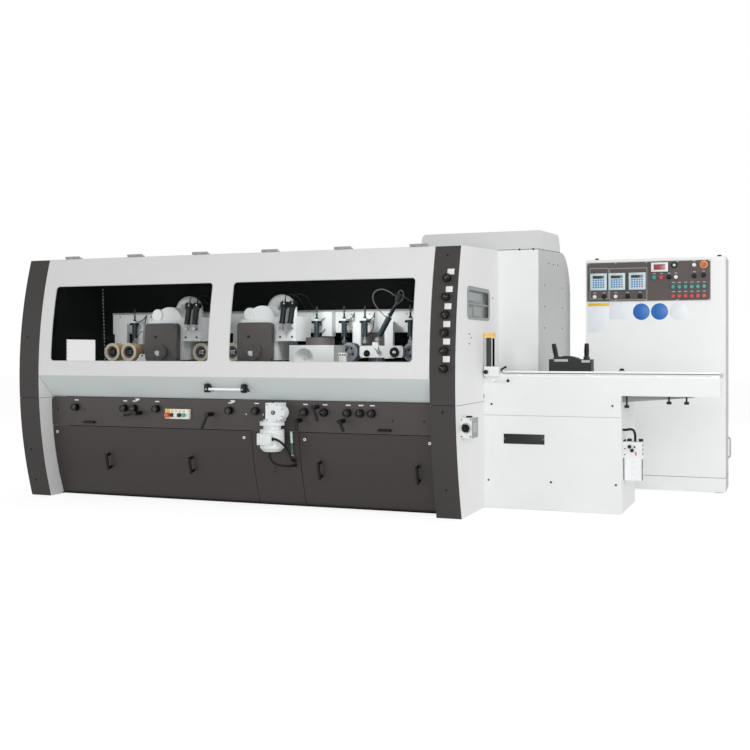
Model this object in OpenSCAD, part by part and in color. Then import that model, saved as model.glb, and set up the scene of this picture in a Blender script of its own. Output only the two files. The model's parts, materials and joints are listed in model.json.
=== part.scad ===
// Four sided moulder: a floor machine that planes and profiles all four sides of a board
// in one pass. The board enters over the infeed table at the right, runs between the bed
// and the feed rollers past five cutter spindles, and leaves through the left end.
// Every module is written in machine axes: X from the left end face, Y from the front-most
// line of the bowed front towards the rear, Z up from the floor. in_frame() moves that to
// the middle of the footprint.

/* [Casing] */
// Length of the casing between its end faces
case_l = 3342; // [3200:1:3500]
// Height of the casing at its front edge
case_h = 1750; // [1700:1:1820]
// Depth of the working chamber from the front of the bow to the rear housing
case_d = 1073; // [1060:1:1140]
// Width of each front column
column_w = 168; // [150:1:185]
// Radius of the bowed front
bow_r = 2830; // [2600:10:3200]
// Height of the front-most line of the bow
bow_z = 895; // [870:1:915]
// Thickness of the sheet metal
sheet = 4; // [3:0.5:5]
// Rise of the roof from its front edge to the rear housing
roof_rise = 47; // [20:1:70]

/* [Front] */
// Setback of the control rail and doors behind the bow
door_set = 157; // [140:1:175]
// Radius of the bowed rail and doors
door_r = 1850; // [1600:10:2200]
// Height of the front-most line of the rail
door_apex_z = 723; // [700:1:760]
// Height of the bottom edge of the control rail
rail_z = 528; // [515:1:545]
// Height of the top edge of the control rail
rail_top_z = 738; // [725:1:741]
// Height of the bottom edge of the doors
door_z = 12; // [8:1:40]
// Height of the adjusting knobs on the rail
knob_z = 664; // [650:1:680]
// Largest diameter of an adjusting knob
knob_d = 58; // [48:1:62]
// Length of the grip of a clamp lever
lever_l = 92; // [80:1:100]
// Height of the door pulls from end to end
pull_h = 118; // [100:1:140]

/* [Hood] */
// Height of the crease between the window field and the slanted lip
crease_z = 900; // [890:1:930]
// Height of the bottom edge of the windows
window_z = 1007; // [990:1:1040]
// Share of the hood field above the crease that is left over the windows
window_top_share = 0.23765; // [0.2:0.001:0.28]
// Diameter of the hood hinge pins
hinge_pin_d = 10; // [8:1:12]
// Length of the hood handle between its brackets
handle_l = 278; // [240:1:320]

/* [Work path] */
// Height of the table top
table_z = 927; // [900:1:935]
// Distance of the front edge of the work path before the rear housing
path_in = 374; // [365:1:383]
// Largest width of board
path_w = 231; // [220:1:240]
// Largest height of board under the rollers
path_h = 71; // [60:1:75]
// Diameter of the feed rollers
roller_d = 140; // [130:1:145]
// Diameter of the cutter heads
cutter_d = 124; // [110:1:126]

/* [Rear housing] */
// Length of the rear housing beyond the casing
rear_over = 294; // [220:1:320]
// Depth of the rear housing
rear_d = 1203; // [1000:1:1300]
// Radius of the rounded top edge at the back
rear_r = 350; // [250:1:400]
// Length of the raised top cover
cover_l = 880; // [700:1:1000]
// Depth of the raised top cover
cover_d = 780; // [650:1:820]
// Height of the raised top cover
cover_h = 138; // [100:1:180]

/* [Infeed] */
// Length of the infeed table beyond the casing
infeed_l = 1543; // [1450:1:1650]
// Depth of the infeed table
infeed_d = 371; // [355:1:373]
// Length of the infeed base
infeed_base_l = 925; // [850:1:960]
// Depth of the infeed base at its free end
infeed_base_d = 691; // [600:1:760]
// Height of the infeed table's beam and plate over the infeed base
infeed_beam_h = 145; // [127:1:167]

/* [Control cabinet] */
// Width of the cabinet
cabinet_w = 1050; // [1000:1:1100]
// Depth of the cabinet
cabinet_d = 420; // [360:1:450]
// Height of the top of the cabinet
cabinet_h = 1792; // [1700:1:1850]
// Distance of the cabinet to the right of the rear housing
cabinet_gap = 166; // [120:1:200]
// Front face of the cabinet
cabinet_y = 2050; // [2000:1:2090]

/* [Hidden] */

// Common clearances
overrun = 10;
seat_gap = 0.2;
run_gap = 0.05;
slide_gap = 0.3;
panel_gap = 4;
floor_gap = 2;
bow_fn = 720;
round_fn = 64;
knob_fn = 48;

// Colours
dark_grey = [0.25, 0.235, 0.235];
rail_grey = [0.30, 0.29, 0.285];
light_grey = [0.86, 0.87, 0.87];
white = [0.91, 0.915, 0.915];
cast_white = [0.84, 0.86, 0.86];
near_black = [0.05, 0.05, 0.05];
steel = [0.70, 0.71, 0.72];
iron = [0.42, 0.43, 0.44];
rubber = [0.86, 0.80, 0.60];
teal = [0.16, 0.26, 0.27];
red = [0.85, 0.16, 0.12];
cream = [0.92, 0.85, 0.55];
smoke = [0.55, 0.58, 0.60, 0.4];
sea_green = [0.10, 0.55, 0.50];

// Lines that many pieces share
rear_l = case_l + rear_over;
window_top_z = case_h - window_top_share * (case_h - crease_z);
path_y = case_d - path_in;
infeed_base_h = table_z - infeed_beam_h;

// Curves of the front
function arc_y(z) = bow_r - sqrt(pow(bow_r, 2) - pow(z - bow_z, 2));
function door_y(z) = door_set + door_r - sqrt(pow(door_r, 2) - pow(z - door_apex_z, 2));
function door_tilt(z) = asin((door_apex_z - z) / door_r);

// Adjusting knobs: skirt, fluted grip and dial face on a shaft held behind the panel
knob_l = 36;
knob_skirt_h = 6;
knob_grip_inset = 4;
knob_chamfer = 3;
knob_face_inset = 9;
knob_face_depth = 2;
knob_flute_r = 5;
knob_flutes = 10;
knob_stand = 4;
knob_shaft_r = 6;
knob_shaft_back = 25;
knob_collar_r = 12;
knob_collar_w = 8;
knob_collar_gap = 0.5;
rail_knob_shares = [0.1155, 0.2412, 0.2654, 0.3217, 0.4979, 0.5592, 0.6694, 0.7130, 0.7633, 0.7905, 0.8148];
column_knob_shares = [0.881, 0.812, 0.747, 0.682, 0.617, 0.5525];
column_knob_in = 72;

// Front-most and rear-most planes set the middle of the footprint
function column_knob_z(i) = column_knob_shares[i] * case_h;
function column_knob_y(i) = min([for (s = [-1, 1]) arc_y(column_knob_z(i) + s * knob_d / 2)]) - knob_stand;
front_y = min([for (i = [0:len(column_knob_shares) - 1]) column_knob_y(i)]) - knob_l;
back_y = cabinet_y + cabinet_d;
mid_x = (case_l + infeed_l) / 2;
mid_y = (front_y + back_y) / 2;

module in_frame() {
  translate([-mid_x, -mid_y, 0]) children();
}

// A YZ outline extruded along X
module along_x(x, l) {
  translate([x, 0, 0]) rotate([90, 0, 90]) linear_extrude(height = l) children();
}

// An XZ outline extruded towards the rear from y
module along_y(y, l) {
  translate([0, y + l, 0]) rotate([90, 0, 0]) linear_extrude(height = l) children();
}

// A round bar along Y, from y towards the rear
module bar_y(x, y, z, r, l, fn = round_fn) {
  translate([x, y, z]) rotate([-90, 0, 0]) cylinder(r = r, h = l, $fn = fn);
}

// A round bar along X
module bar_x(x, y, z, r, l, fn = round_fn) {
  translate([x, y, z]) rotate([0, 90, 0]) cylinder(r = r, h = l, $fn = fn);
}

// A box between two corners
module box(lo, hi) {
  translate(lo) cube(hi - lo);
}

// The front part of a ring, between two heights
module arc_band(cy, cz, r, t, z0, z1) {
  intersection() {
    translate([cy, cz]) difference() {
      circle(r = r, $fn = bow_fn);
      circle(r = r - t, $fn = bow_fn);
    }
    translate([cy - r - overrun, z0]) square([r + overrun, z1 - z0]);
  }
}

module bow_band(inset, t, z0, z1) {
  arc_band(bow_r, bow_z, bow_r - inset, t, z0, z1);
}

module door_band(inset, t, z0, z1) {
  arc_band(door_set + door_r, door_apex_z, door_r - inset, t, z0, z1);
}

// A rectangle with round corners, exact arcs
module round_rect(x0, z0, x1, z1, r) {
  translate([x0 + r, z0]) square([x1 - x0 - 2 * r, z1 - z0]);
  translate([x0, z0 + r]) square([x1 - x0, z1 - z0 - 2 * r]);
  for (x = [x0 + r, x1 - r]) {
    for (z = [z0 + r, z1 - r]) {
      translate([x, z]) circle(r = r, $fn = round_fn);
    }
  }
}

// Base frame
base_in = 32;
base_y = 340;
base_rear_gap = 43;
base_foot_h = 60;
base_foot_r = 45;
base_foot_shares = [0.04, 0.35, 0.65, 0.96];
base_foot_in = 110;
base_wall = 20;
base_top_z = 640;
base_rib_w = 20;
base_rib_shares = [0.25, 0.5, 0.75];
sill_h = 5;
sill_y = 285;
base_x0 = column_w + base_in;
base_x1 = case_l - column_w - base_in;
base_y1 = case_d - base_rear_gap;

module base_frame() color(iron) in_frame() {
  difference() {
    union() {
      box([base_x0, base_y, base_foot_h], [base_x1, base_y1, base_top_z]);
      box([column_w, sill_y, door_z - sill_h], [case_l - column_w, base_y + base_wall, door_z]);
      box([base_x0, base_y, door_z - sill_h], [base_x1, base_y + base_wall, base_foot_h]);
    }
    difference() {
      box([base_x0 + base_wall, base_y + base_wall, -overrun],
        [base_x1 - base_wall, base_y1 - base_wall, base_top_z - base_wall]);
      for (s = base_rib_shares) {
        box([base_x0 + s * (base_x1 - base_x0), base_y, base_foot_h],
          [base_x0 + s * (base_x1 - base_x0) + base_rib_w, base_y1, base_top_z]);
      }
    }
  }
  for (s = base_foot_shares) {
    for (y = [base_y + base_foot_in, base_y1 - base_foot_in]) {
      translate([base_x0 + s * (base_x1 - base_x0), y, 0]) base_foot();
    }
  }
}

// A levelling foot: pad, stem and lock nut under a welded lug
foot_pad_h = 22;
foot_stem_r = 15;
foot_nut_r = 26;
foot_nut_h = 16;

module base_foot() {
  cylinder(r = base_foot_r, h = foot_pad_h, $fn = round_fn);
  cylinder(r = foot_stem_r, h = base_top_z - base_wall, $fn = round_fn);
  translate([0, 0, base_foot_h - foot_nut_h]) cylinder(r = foot_nut_r, h = foot_nut_h, $fn = 6);
}

// Machine bed, its table and the rear fence
bed_h = 160;
table_t = 37;
table_ahead = 219;
table_y = path_y - table_ahead;
table_end_gap = 12;
bed_rear_gap = 5;
bed_rib_w = 120;
bed_rib_shares = [0.07, 0.24, 0.41, 0.57, 0.92];
fence_t = 30;
fence_h = 58;
fence_y = path_y + path_w;
cutter_clear = 12;
bearing_w = 150;
bearing_t = 70;
bearing_in = 12;
bottom_spindle_share = 0.779;
left_spindle_share = 0.6403;
right_spindle_share = 0.730;
first_top_share = 0.4916;
second_top_share = 0.2552;
bottom_x = bottom_spindle_share * case_l;
left_x = left_spindle_share * case_l;
right_x = right_spindle_share * case_l;
cutter_r = cutter_d / 2;
spindle_r = 25;
side_spindle_r = 20;
cutter_gap = 1;
bottom_axis_z = table_z - cutter_r - cutter_gap;
left_axis_y = path_y - cutter_r - cutter_gap;
right_axis_y = fence_y + cutter_r + cutter_gap;
bed_y1 = base_y1 + bed_rear_gap;
bed_top_z = base_top_z + bed_h;

module machine_bed() color(iron) in_frame() {
  difference() {
    union() {
      box([base_x0, table_y, base_top_z], [base_x1, bed_y1, bed_top_z]);
      box([table_end_gap, table_y, table_z - table_t], [case_l - table_end_gap, bed_y1, table_z]);
      for (s = bed_rib_shares) {
        box([s * case_l - bed_rib_w / 2, table_y + overrun, bed_top_z - overrun],
          [s * case_l + bed_rib_w / 2, bed_y1 - overrun, table_z - table_t + overrun]);
      }
      for (y = [path_y - bearing_in - bearing_t, fence_y + bearing_in]) {
        box([bottom_x - bearing_w / 2, y, bed_top_z - overrun],
          [bottom_x + bearing_w / 2, y + bearing_t, table_z - table_t + overrun]);
      }
      for (c = [[left_x, left_axis_y], [right_x, right_axis_y - bearing_in]]) {
        box([c.x - bearing_w / 2, c.y - bearing_t / 2, bed_top_z - overrun],
          [c.x + bearing_w / 2, c.y + bearing_t / 2, table_z - table_t + overrun]);
      }
    }
    box([bottom_x - cutter_r - cutter_clear, path_y - bearing_in, table_z - table_t - overrun],
      [bottom_x + cutter_r + cutter_clear, fence_y + bearing_in, table_z + overrun]);
    bar_y(bottom_x, path_y - bearing_in - bearing_t - overrun, bottom_axis_z, spindle_r + run_gap,
      path_w + 2 * bearing_in + 2 * bearing_t + 2 * overrun);
    for (c = [[left_x, left_axis_y], [right_x, right_axis_y]]) {
      translate([c.x, c.y, base_top_z + overrun])
        cylinder(r = side_spindle_r + run_gap, h = table_z, $fn = round_fn);
    }
  }
  for (r = [[table_end_gap, right_x - cutter_r - cutter_clear],
      [right_x + cutter_r + cutter_clear, case_l - table_end_gap]]) {
    box([r[0], fence_y, table_z + seat_gap], [r[1], fence_y + fence_t, table_z + fence_h]);
  }
}

// End cabinets: side plate, reveal plate, web and cap of each front column
column_d_share = 0.4721;
column_d = column_d_share * path_y;
outfeed_ahead = 156;
outfeed_y = path_y - outfeed_ahead;
outfeed_w = 385;
outfeed_h = 240;
side_window_ahead = 403;
side_window_y = path_y - side_window_ahead;
side_window_w = 510;
side_window_z_share = 0.2281;
side_window_h_share = 0.3087;
side_window_r = 26;
side_pane_t = 3;
side_pane_lap = 8;
isolator_h = 128;
roof_step = 19.754;
roof_y = arc_y(case_h) + roof_step;
slot_top_z = table_z + outfeed_h;
side_window_z = slot_top_z + side_window_z_share * (case_h - slot_top_z);
side_window_h = side_window_h_share * (case_h - slot_top_z);
side_plate_y1 = case_d - panel_gap;
opening_sill = table_t;

function roof_z(y) = case_h + roof_rise * (y - roof_y) / (case_d - roof_y);

// Side outline of an end cabinet behind the column cover, up to depth y1
module end_outline(y1) {
  intersection() {
    translate([bow_r, bow_z]) circle(r = bow_r - sheet - seat_gap, $fn = bow_fn);
    polygon([[-overrun, floor_gap], [y1, floor_gap], [y1, roof_z(max(y1, roof_y))], [roof_y, case_h],
      [-overrun, case_h]]);
  }
}

module end_cabinet() {
  difference() {
    along_x(sheet + seat_gap, column_w - sheet - seat_gap) end_outline(column_d);
    box([-overrun, -overrun, -overrun], [column_w - sheet, column_d - sheet, case_h - sheet]);
  }
  along_x(0, sheet) end_outline(side_plate_y1);
}

// The way of the board through an end plate
module board_slot(x, l, y, w) {
  box([x, y, table_z - opening_sill], [x + l, y + w, table_z + outfeed_h]);
}

infeed_slot_ahead = 9;
infeed_slot_y = path_y - infeed_slot_ahead;
infeed_slot_w = 300;

module end_cabinets() color(light_grey) in_frame() {
  difference() {
    end_cabinet();
    board_slot(-overrun, sheet + 2 * overrun, outfeed_y, outfeed_w);
  }
  difference() {
    translate([case_l, 0, 0]) mirror([1, 0, 0]) end_cabinet();
    board_slot(case_l - sheet - overrun, sheet + 2 * overrun, infeed_slot_y, infeed_slot_w);
    along_x(case_l - sheet - overrun, sheet + 2 * overrun) round_rect(side_window_y, side_window_z,
      side_window_y + side_window_w, side_window_z + side_window_h, side_window_r);
  }
  side_window_pane();
}

// Pane behind the window of the right end plate
module side_window_pane() {
  along_x(case_l - sheet - side_pane_t, side_pane_t - seat_gap)
    round_rect(side_window_y - side_pane_lap, side_window_z - side_pane_lap,
      side_window_y + side_window_w + side_pane_lap, side_window_z + side_window_h + side_pane_lap,
        side_window_r);
}

// Dark front panels: column covers in two heights, control rail and fixed centre panel
column_seam_z = 732;
column_seam = 3;
rail_flange = 30;
centre_x_share = 0.5476;
centre_end_share = 0.6538;
rail_chamfer = 26;
gear_tube_r = 30;
gear_x_share = 0.6236;
gear_z = 664;
station_x_share = 0.34665;
station_w = 193;
station_z = 597;
station_h = 69;
rail_pull_shares = [0.1505, 0.842];
rail_pull_l = 90;
rail_pull_z = 556;
rail_pull_h = 14;
rail_pull_d = 26;

// Clamp levers: place along the rail, height, arm angle from +X and arm length share
lever_x_shares = [0.2813, 0.4563, 0.6598, 0.6981, 0.7546];
lever_z_shares = [0.4949, 0.5100, 0.3807, 0.8282, 0.3907];
lever_angles = [190, 250, 278, 292, 296];
lever_length_shares = [0.90, 1.03, 0.62, 0.98, 0.68];
lever_stud_r = 8;
lever_hub_r = 15;
lever_hub_l = 84;
lever_stand = 4;
lever_stud_back = 18;
lever_nut_r = 14;
lever_nut_w = 8;
lever_arm_r = 8;
lever_arm_end_r = 10.5;
lever_lean = 8;

function lever_x(i) = lever_x_shares[i] * case_l;
function lever_z(i) = rail_z + lever_z_shares[i] * (rail_top_z - rail_z);
function rail_knob_x(i) = rail_knob_shares[i] * case_l;

centre_x0 = centre_x_share * case_l;
centre_x1 = centre_end_share * case_l;
gear_x = gear_x_share * case_l;

module front_panels() color(dark_grey) in_frame() {
  for (x = [0, case_l - column_w]) {
    difference() {
      union() {
        along_x(x, column_w) bow_band(0, sheet, floor_gap, column_seam_z);
        along_x(x, column_w) bow_band(0, sheet, column_seam_z + column_seam, case_h);
      }
      if (x > 0) {
        for (i = [0:len(column_knob_shares) - 1]) {
          bar_y(case_l - column_knob_in, -overrun, column_knob_z(i), knob_shaft_r + slide_gap, column_d);
        }
      }
    }
  }
  color(rail_grey) difference() {
    union() {
      along_x(column_w, case_l - 2 * column_w) door_band(0, sheet, rail_z, rail_top_z);
      along_x(column_w, case_l - 2 * column_w) door_band(0, rail_flange, rail_top_z - sheet, rail_top_z);
    }
    for (i = [0:len(rail_knob_shares) - 1]) {
      bar_y(rail_knob_x(i), door_set - overrun, knob_z, knob_shaft_r + slide_gap, column_d);
    }
    for (i = [0:len(lever_x_shares) - 1]) {
      bar_y(lever_x(i), door_set - overrun, lever_z(i), lever_stud_r + slide_gap, column_d);
    }
    bar_y(gear_x, door_set - overrun, gear_z, gear_tube_r + slide_gap, column_d);
    translate([column_w, door_set - overrun, rail_top_z]) rotate([0, -45, 0])
      translate([-rail_chamfer, 0, -rail_chamfer / 2]) cube([2 * rail_chamfer, column_d, rail_chamfer]);
  }
  along_x(centre_x0, centre_x1 - centre_x0) door_band(0, sheet, door_z, rail_z - seat_gap);
  for (s = rail_pull_shares) {
    on_door(s * case_l, rail_pull_z) translate([-rail_pull_l / 2, -rail_pull_d - seat_gap, 0]) rail_pull();
  }
}

// A small black shelf pull: a plate with a rounded front edge
module rail_pull() {
  r = rail_pull_h / 2;
  box([0, r, -r], [rail_pull_l, rail_pull_d, r]);
  bar_x(0, r, 0, r, rail_pull_l, knob_fn);
}

// Roof panel with the fixed hinge leaves
hinge_shares = [0.1077, 0.2684, 0.4282, 0.5912, 0.7531, 0.9128];
hinge_w = 120;
hinge_knuckle_share = 0.34;
hinge_r = 9;
hinge_lift = 15;
hinge_leaf_d = 34;
hinge_in = 2;
hinge_y = roof_y - hinge_in;
hinge_z = case_h + hinge_lift;
knuckle_w = hinge_w * hinge_knuckle_share;
knuckle_gap = 0.5;

module roof_panel() color(light_grey) in_frame() {
  along_x(0, case_l) polygon([[roof_y, case_h], [case_d, roof_z(case_d)], [case_d, roof_z(case_d) + sheet],
    [roof_y, case_h + sheet]]);
  for (s = hinge_shares) {
    translate([s * case_l, 0, 0]) hinge_leaf();
  }
}

// Fixed leaf: base on the roof, two barrels and the pin between them
module hinge_leaf() {
  color(dark_grey) difference() {
    union() {
      for (x = [-hinge_w / 2, knuckle_w / 2]) {
        bar_x(x, hinge_y, hinge_z, hinge_r, (hinge_w - knuckle_w) / 2, knob_fn);
        box([x, hinge_y, case_h], [x + (hinge_w - knuckle_w) / 2, hinge_y + hinge_leaf_d, hinge_z]);
      }
      bar_x(-hinge_w / 2, hinge_y, hinge_z, hinge_pin_d / 2, hinge_w, knob_fn);
    }
    along_x(-hinge_w, 2 * hinge_w) polygon([[hinge_y - hinge_leaf_d, case_h + sheet + seat_gap],
      [roof_y, case_h + sheet + seat_gap], [case_d, roof_z(case_d) + sheet + seat_gap],
      [case_d, 0], [hinge_y - hinge_leaf_d, 0]]);
  }
}

// Rear housing with its raised top cover
cover_front_slant = 40;
cover_rise = 30;
cover_r = 120;
cover_end_r = 34;
rear_rise = 44;
rear_pad_w = 90;
rear_y1 = case_d + rear_d;
rear_top_z = roof_z(case_d) + sheet;

// Side outline of the rear housing, inset all round by t
module rear_outline(t) {
  y2 = rear_y1 - rear_r;
  z2 = rear_top_z + rear_rise;
  polygon([[case_d + t, floor_gap], [case_d + t, rear_top_z - t], [y2, z2 - t], [y2, z2 - rear_r],
    [rear_y1 - t, z2 - rear_r], [rear_y1 - t, floor_gap]]);
  translate([y2, z2 - rear_r]) circle(r = rear_r - t, $fn = bow_fn);
}

// Side outline of the raised cover, inset all round but below by t
module cover_outline(t) {
  y1 = case_d + cover_d;
  y2 = y1 - cover_r;
  z0 = rear_top_z + seat_gap;
  z1 = rear_top_z + cover_h + cover_rise;
  slope = rear_rise / (rear_y1 - rear_r - case_d);
  polygon([[case_d + t, z0 + slope * t], [case_d + cover_front_slant + t, rear_top_z + cover_h - t],
    [y2, z1 - t], [y2, z1 - cover_r], [y1 - t, z1 - cover_r], [y1 - t, z0 + slope * (cover_d - t)]]);
  intersection() {
    translate([y2, z1 - cover_r]) circle(r = cover_r - t, $fn = bow_fn);
    translate([y2, z1 - cover_r]) square([cover_r, cover_r]);
  }
}

module rear_housing() color(light_grey) in_frame() {
  difference() {
    along_x(0, rear_l) rear_outline(0);
    along_x(sheet, rear_l - 2 * sheet) rear_outline(sheet);
    box([sheet, case_d + sheet, 0], [rear_l - sheet, rear_y1 - sheet, floor_gap + overrun]);
  }
  for (x = [0, rear_l - rear_pad_w]) {
    for (y = [case_d, rear_y1 - rear_pad_w]) {
      box([x, y, 0], [x + rear_pad_w, y + rear_pad_w, floor_gap]);
    }
  }
  difference() {
    cover_body(0);
    cover_body(sheet);
  }
}

// The raised cover drawn in by t, its top left edge rounded along the sloping roof
module cover_body(t) {
  tilt = atan(cover_rise / (cover_d - cover_r - cover_front_slant));
  difference() {
    along_x(rear_l - cover_l + t, cover_l - 2 * t) cover_outline(t);
    translate([rear_l - cover_l, case_d + cover_front_slant, rear_top_z + cover_h]) rotate([tilt, 0, 0])
      difference() {
        box([-overrun, -cover_d, -cover_end_r], [cover_end_r, 2 * cover_d, cover_h]);
        bar_y(cover_end_r, -cover_d - overrun, -cover_end_r, cover_end_r - t, 3 * cover_d + 2 * overrun);
      }
  }
}

// Black liner of the working chamber
liner_t = 3;
liner_rear_gap = 7;
liner_z = 640;
liner_top_gap = 20;

module cabin_liner() color(near_black) in_frame() {
  y1 = case_d - liner_rear_gap;
  box([sheet, y1 - liner_t, liner_z], [case_l - sheet, y1, case_h - liner_top_gap]);
  difference() {
    box([sheet, column_d, liner_z], [sheet + liner_t, y1 - liner_t - seat_gap, case_h - liner_top_gap]);
    board_slot(-overrun, sheet + liner_t + 2 * overrun, outfeed_y, outfeed_w);
  }
  difference() {
    box([case_l - sheet - liner_t, column_d, liner_z],
      [case_l - sheet, y1 - liner_t - seat_gap, case_h - liner_top_gap]);
    board_slot(case_l - sheet - liner_t - overrun, sheet + liner_t + 2 * overrun, infeed_slot_y,
      infeed_slot_w);
    along_x(case_l - sheet - liner_t - overrun, liner_t + 2 * overrun)
      round_rect(side_window_y - overrun, side_window_z - overrun, side_window_y + side_window_w + overrun,
        side_window_z + side_window_h + overrun, side_window_r);
  }
}

// Infeed base: a sheet metal box, deeper beside the rear housing, on four pads
pad_r = 40;
pad_in = 60;
base_bottom_in = 80;
infeed_x1 = case_l + infeed_base_l;

module infeed_shell(t) {
  box([case_l + t, path_y + t, floor_gap + t], [infeed_x1 - t, path_y + infeed_d - t, infeed_base_h - t]);
  box([rear_l + panel_gap + t, path_y + t, floor_gap + t],
    [infeed_x1 - t, path_y + infeed_base_d - t, infeed_base_h - t]);
}

module infeed_base() color(white) in_frame() {
  difference() {
    infeed_shell(0);
    infeed_shell(sheet);
    box([case_l + base_bottom_in, path_y + base_bottom_in, -overrun],
      [infeed_x1 - base_bottom_in, path_y + infeed_d - base_bottom_in, floor_gap + overrun]);
  }
  for (c = [[case_l + pad_in, path_y + pad_in], [infeed_x1 - pad_in, path_y + pad_in],
      [case_l + pad_in, path_y + infeed_d - pad_in], [infeed_x1 - pad_in,
        path_y + infeed_base_d - pad_in]]) {
    translate([c.x, c.y, 0]) cylinder(r = pad_r, h = floor_gap, $fn = round_fn);
  }
}

// Infeed table: beam, ground top plate in two lengths, front rail and under-bracket
top_plate_t = 25;
rail_bar_r = 12.5;
rail_bar_out = 14;
rail_bar_rise = 3;
rail_lug_drop = 20;
rail_bar_start = 135;
rail_lug_w = 30;
rail_lug_shares = [0.15, 0.45, 0.75, 0.97];
bracket_l = 452;
bracket_h = 44;
bracket_tip_h = 8;
bracket_in = 60;
beam_wall = 12;
plate_joint_share = 0.605;
infeed_end_x = case_l + infeed_l;
plate_joint_x = case_l + plate_joint_share * infeed_l;
beam_top_z = table_z - top_plate_t;

module infeed_table() color(white) in_frame() {
  difference() {
    box([case_l, path_y, infeed_base_h], [infeed_end_x, path_y + infeed_d, beam_top_z - seat_gap]);
    box([case_l + beam_wall, path_y + beam_wall, infeed_base_h - overrun],
      [infeed_end_x - beam_wall, path_y + infeed_d - beam_wall, beam_top_z - beam_wall]);
  }
  for (r = [[case_l, plate_joint_x - seat_gap], [plate_joint_x, infeed_end_x]]) {
    box([r[0], path_y, beam_top_z], [r[1], path_y + infeed_d, table_z]);
  }
  bar_x(case_l + rail_bar_start, path_y - rail_bar_out, table_z + rail_bar_rise, rail_bar_r,
    infeed_l - rail_bar_start);
  for (s = rail_lug_shares) {
    box([case_l + s * infeed_l, path_y - rail_bar_out, table_z - rail_lug_drop],
      [case_l + s * infeed_l + rail_lug_w, path_y - seat_gap, table_z]);
  }
  along_y(path_y + bracket_in, infeed_d - 2 * bracket_in) polygon([[infeed_x1, infeed_base_h - bracket_h],
    [infeed_x1 + bracket_l, infeed_base_h - bracket_tip_h], [infeed_x1 + bracket_l, infeed_base_h],
    [infeed_x1, infeed_base_h]]);
}

// Infeed guides: height stop on the front edge and the rear guide block with its grips
stop_x = 10;
stop_w = 101;
stop_d = 46;
stop_h = 66;
stop_top = 44;
stop_knob_r = 14;
stop_knob_l = 18;
stop_knob_x = 16;
stop_hub_r = 11;
stop_hub_l = 18;
stop_arm_r = 6;
stop_arm_l = 46;
stop_arm_lean = 60;
stop_hub_z = 43;
stop_knob_z = 29;
post_x = 22;
post_w = 26;
post_d = 22;
post_h = 196;
post_y = 30;
rod_x = 58;
rod_r = 4;
plate_x = 4;
plate_w = 80;
plate_h = 36;
plate_t = 14;
ball_x = 62;
ball_z = 52;
ball_boss_r = 12;
ball_rod_r = 5;
ball_rod_l = 108;
ball_r = 11;
guide_x_share = 0.2586;
guide_w = 291;
guide_d = 110;
guide_h = 93;
guide_crown_r = 160;
guide_crown_rise = 24;
guide_crown_share = 0.42;
grip_x_shares = [0.16, 0.86];
grip_leans = [-12, 1];
grip_collar_r = 22;
grip_collar_h = 12;
grip_r = 13;
grip_mid_r = 17;
grip_l = 104;
clamp_x_share = 0.575;
clamp_r = 24;
clamp_h = 15;
clamp_in = 300;
under_knob_shares = [0.622, 0.796, 0.867];
under_knob_drops = [36, 8, 8];
under_knob_r = 16;
under_knob_h = 18;
under_stud_r = 6;
under_stud_l = 24;
under_knob_in = 10;

module infeed_guides() color(near_black) in_frame() {
  stop_z = table_z + stop_top - stop_h;
  x0 = case_l + stop_x;
  difference() {
    box([x0, path_y - stop_d, stop_z], [x0 + stop_w, path_y - seat_gap, stop_z + stop_h]);
    bar_y(x0 + stop_knob_x, path_y - stop_d - overrun, stop_z + stop_knob_z, stop_arm_r, 2 * overrun,
      knob_fn);
  }
  bar_y(x0 + stop_knob_x, path_y - stop_d - seat_gap - stop_knob_l, stop_z + stop_knob_z, stop_knob_r,
    stop_knob_l, knob_fn);
  bar_x(x0 + stop_w + seat_gap, path_y - stop_d / 2, stop_z + stop_hub_z, stop_hub_r, stop_hub_l, knob_fn);
  translate([x0 + stop_w + stop_hub_l / 2, path_y - stop_d / 2, stop_z + stop_hub_z]) rotate([0,
    stop_arm_lean, 0])
    cylinder(r1 = stop_arm_r, r2 = stop_knob_r / 2, h = stop_arm_l, $fn = knob_fn);
  box([case_l + post_x, path_y - post_y, stop_z + stop_h + seat_gap],
    [case_l + post_x + post_w, path_y - post_y + post_d, stop_z + stop_h + post_h]);
  translate([case_l + rod_x, path_y - post_y + post_d / 2, stop_z + stop_h + seat_gap])
    cylinder(r = rod_r, h = post_h - seat_gap, $fn = knob_fn);
  box([case_l + plate_x, path_y - post_y, stop_z + stop_h + post_h + seat_gap],
    [case_l + plate_x + plate_w, path_y - post_y + plate_t, stop_z + stop_h + post_h + plate_h]);
  bar_y(case_l + ball_x, path_y - stop_d / 2, table_z - ball_z, ball_boss_r, stop_d / 2 - seat_gap,
    knob_fn);
  bar_x(case_l + ball_x, path_y - stop_d / 2 + ball_rod_r, table_z - ball_z, ball_rod_r, ball_rod_l,
    knob_fn);
  translate([case_l + ball_x + ball_rod_l, path_y - stop_d / 2 + ball_rod_r, table_z - ball_z])
    sphere(r = ball_r, $fn = knob_fn);
  guide_block();
  translate([case_l + clamp_x_share * infeed_l, path_y + clamp_in, table_z + seat_gap]) {
    cylinder(r = clamp_r, h = clamp_h, $fn = knob_fn);
    cylinder(r1 = clamp_r, r2 = clamp_r / 2, h = 2 * clamp_h, $fn = knob_fn);
  }
  for (i = [0:len(under_knob_shares) - 1]) {
    drop = under_stud_l + under_knob_drops[i];
    translate([case_l + under_knob_shares[i] * infeed_l, path_y + under_knob_in,
      infeed_base_h - drop - under_knob_h]) {
      cylinder(r = under_knob_r, h = under_knob_h, $fn = 8);
      cylinder(r = under_stud_r, h = drop + under_knob_h - seat_gap, $fn = knob_fn);
    }
  }
}

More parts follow.
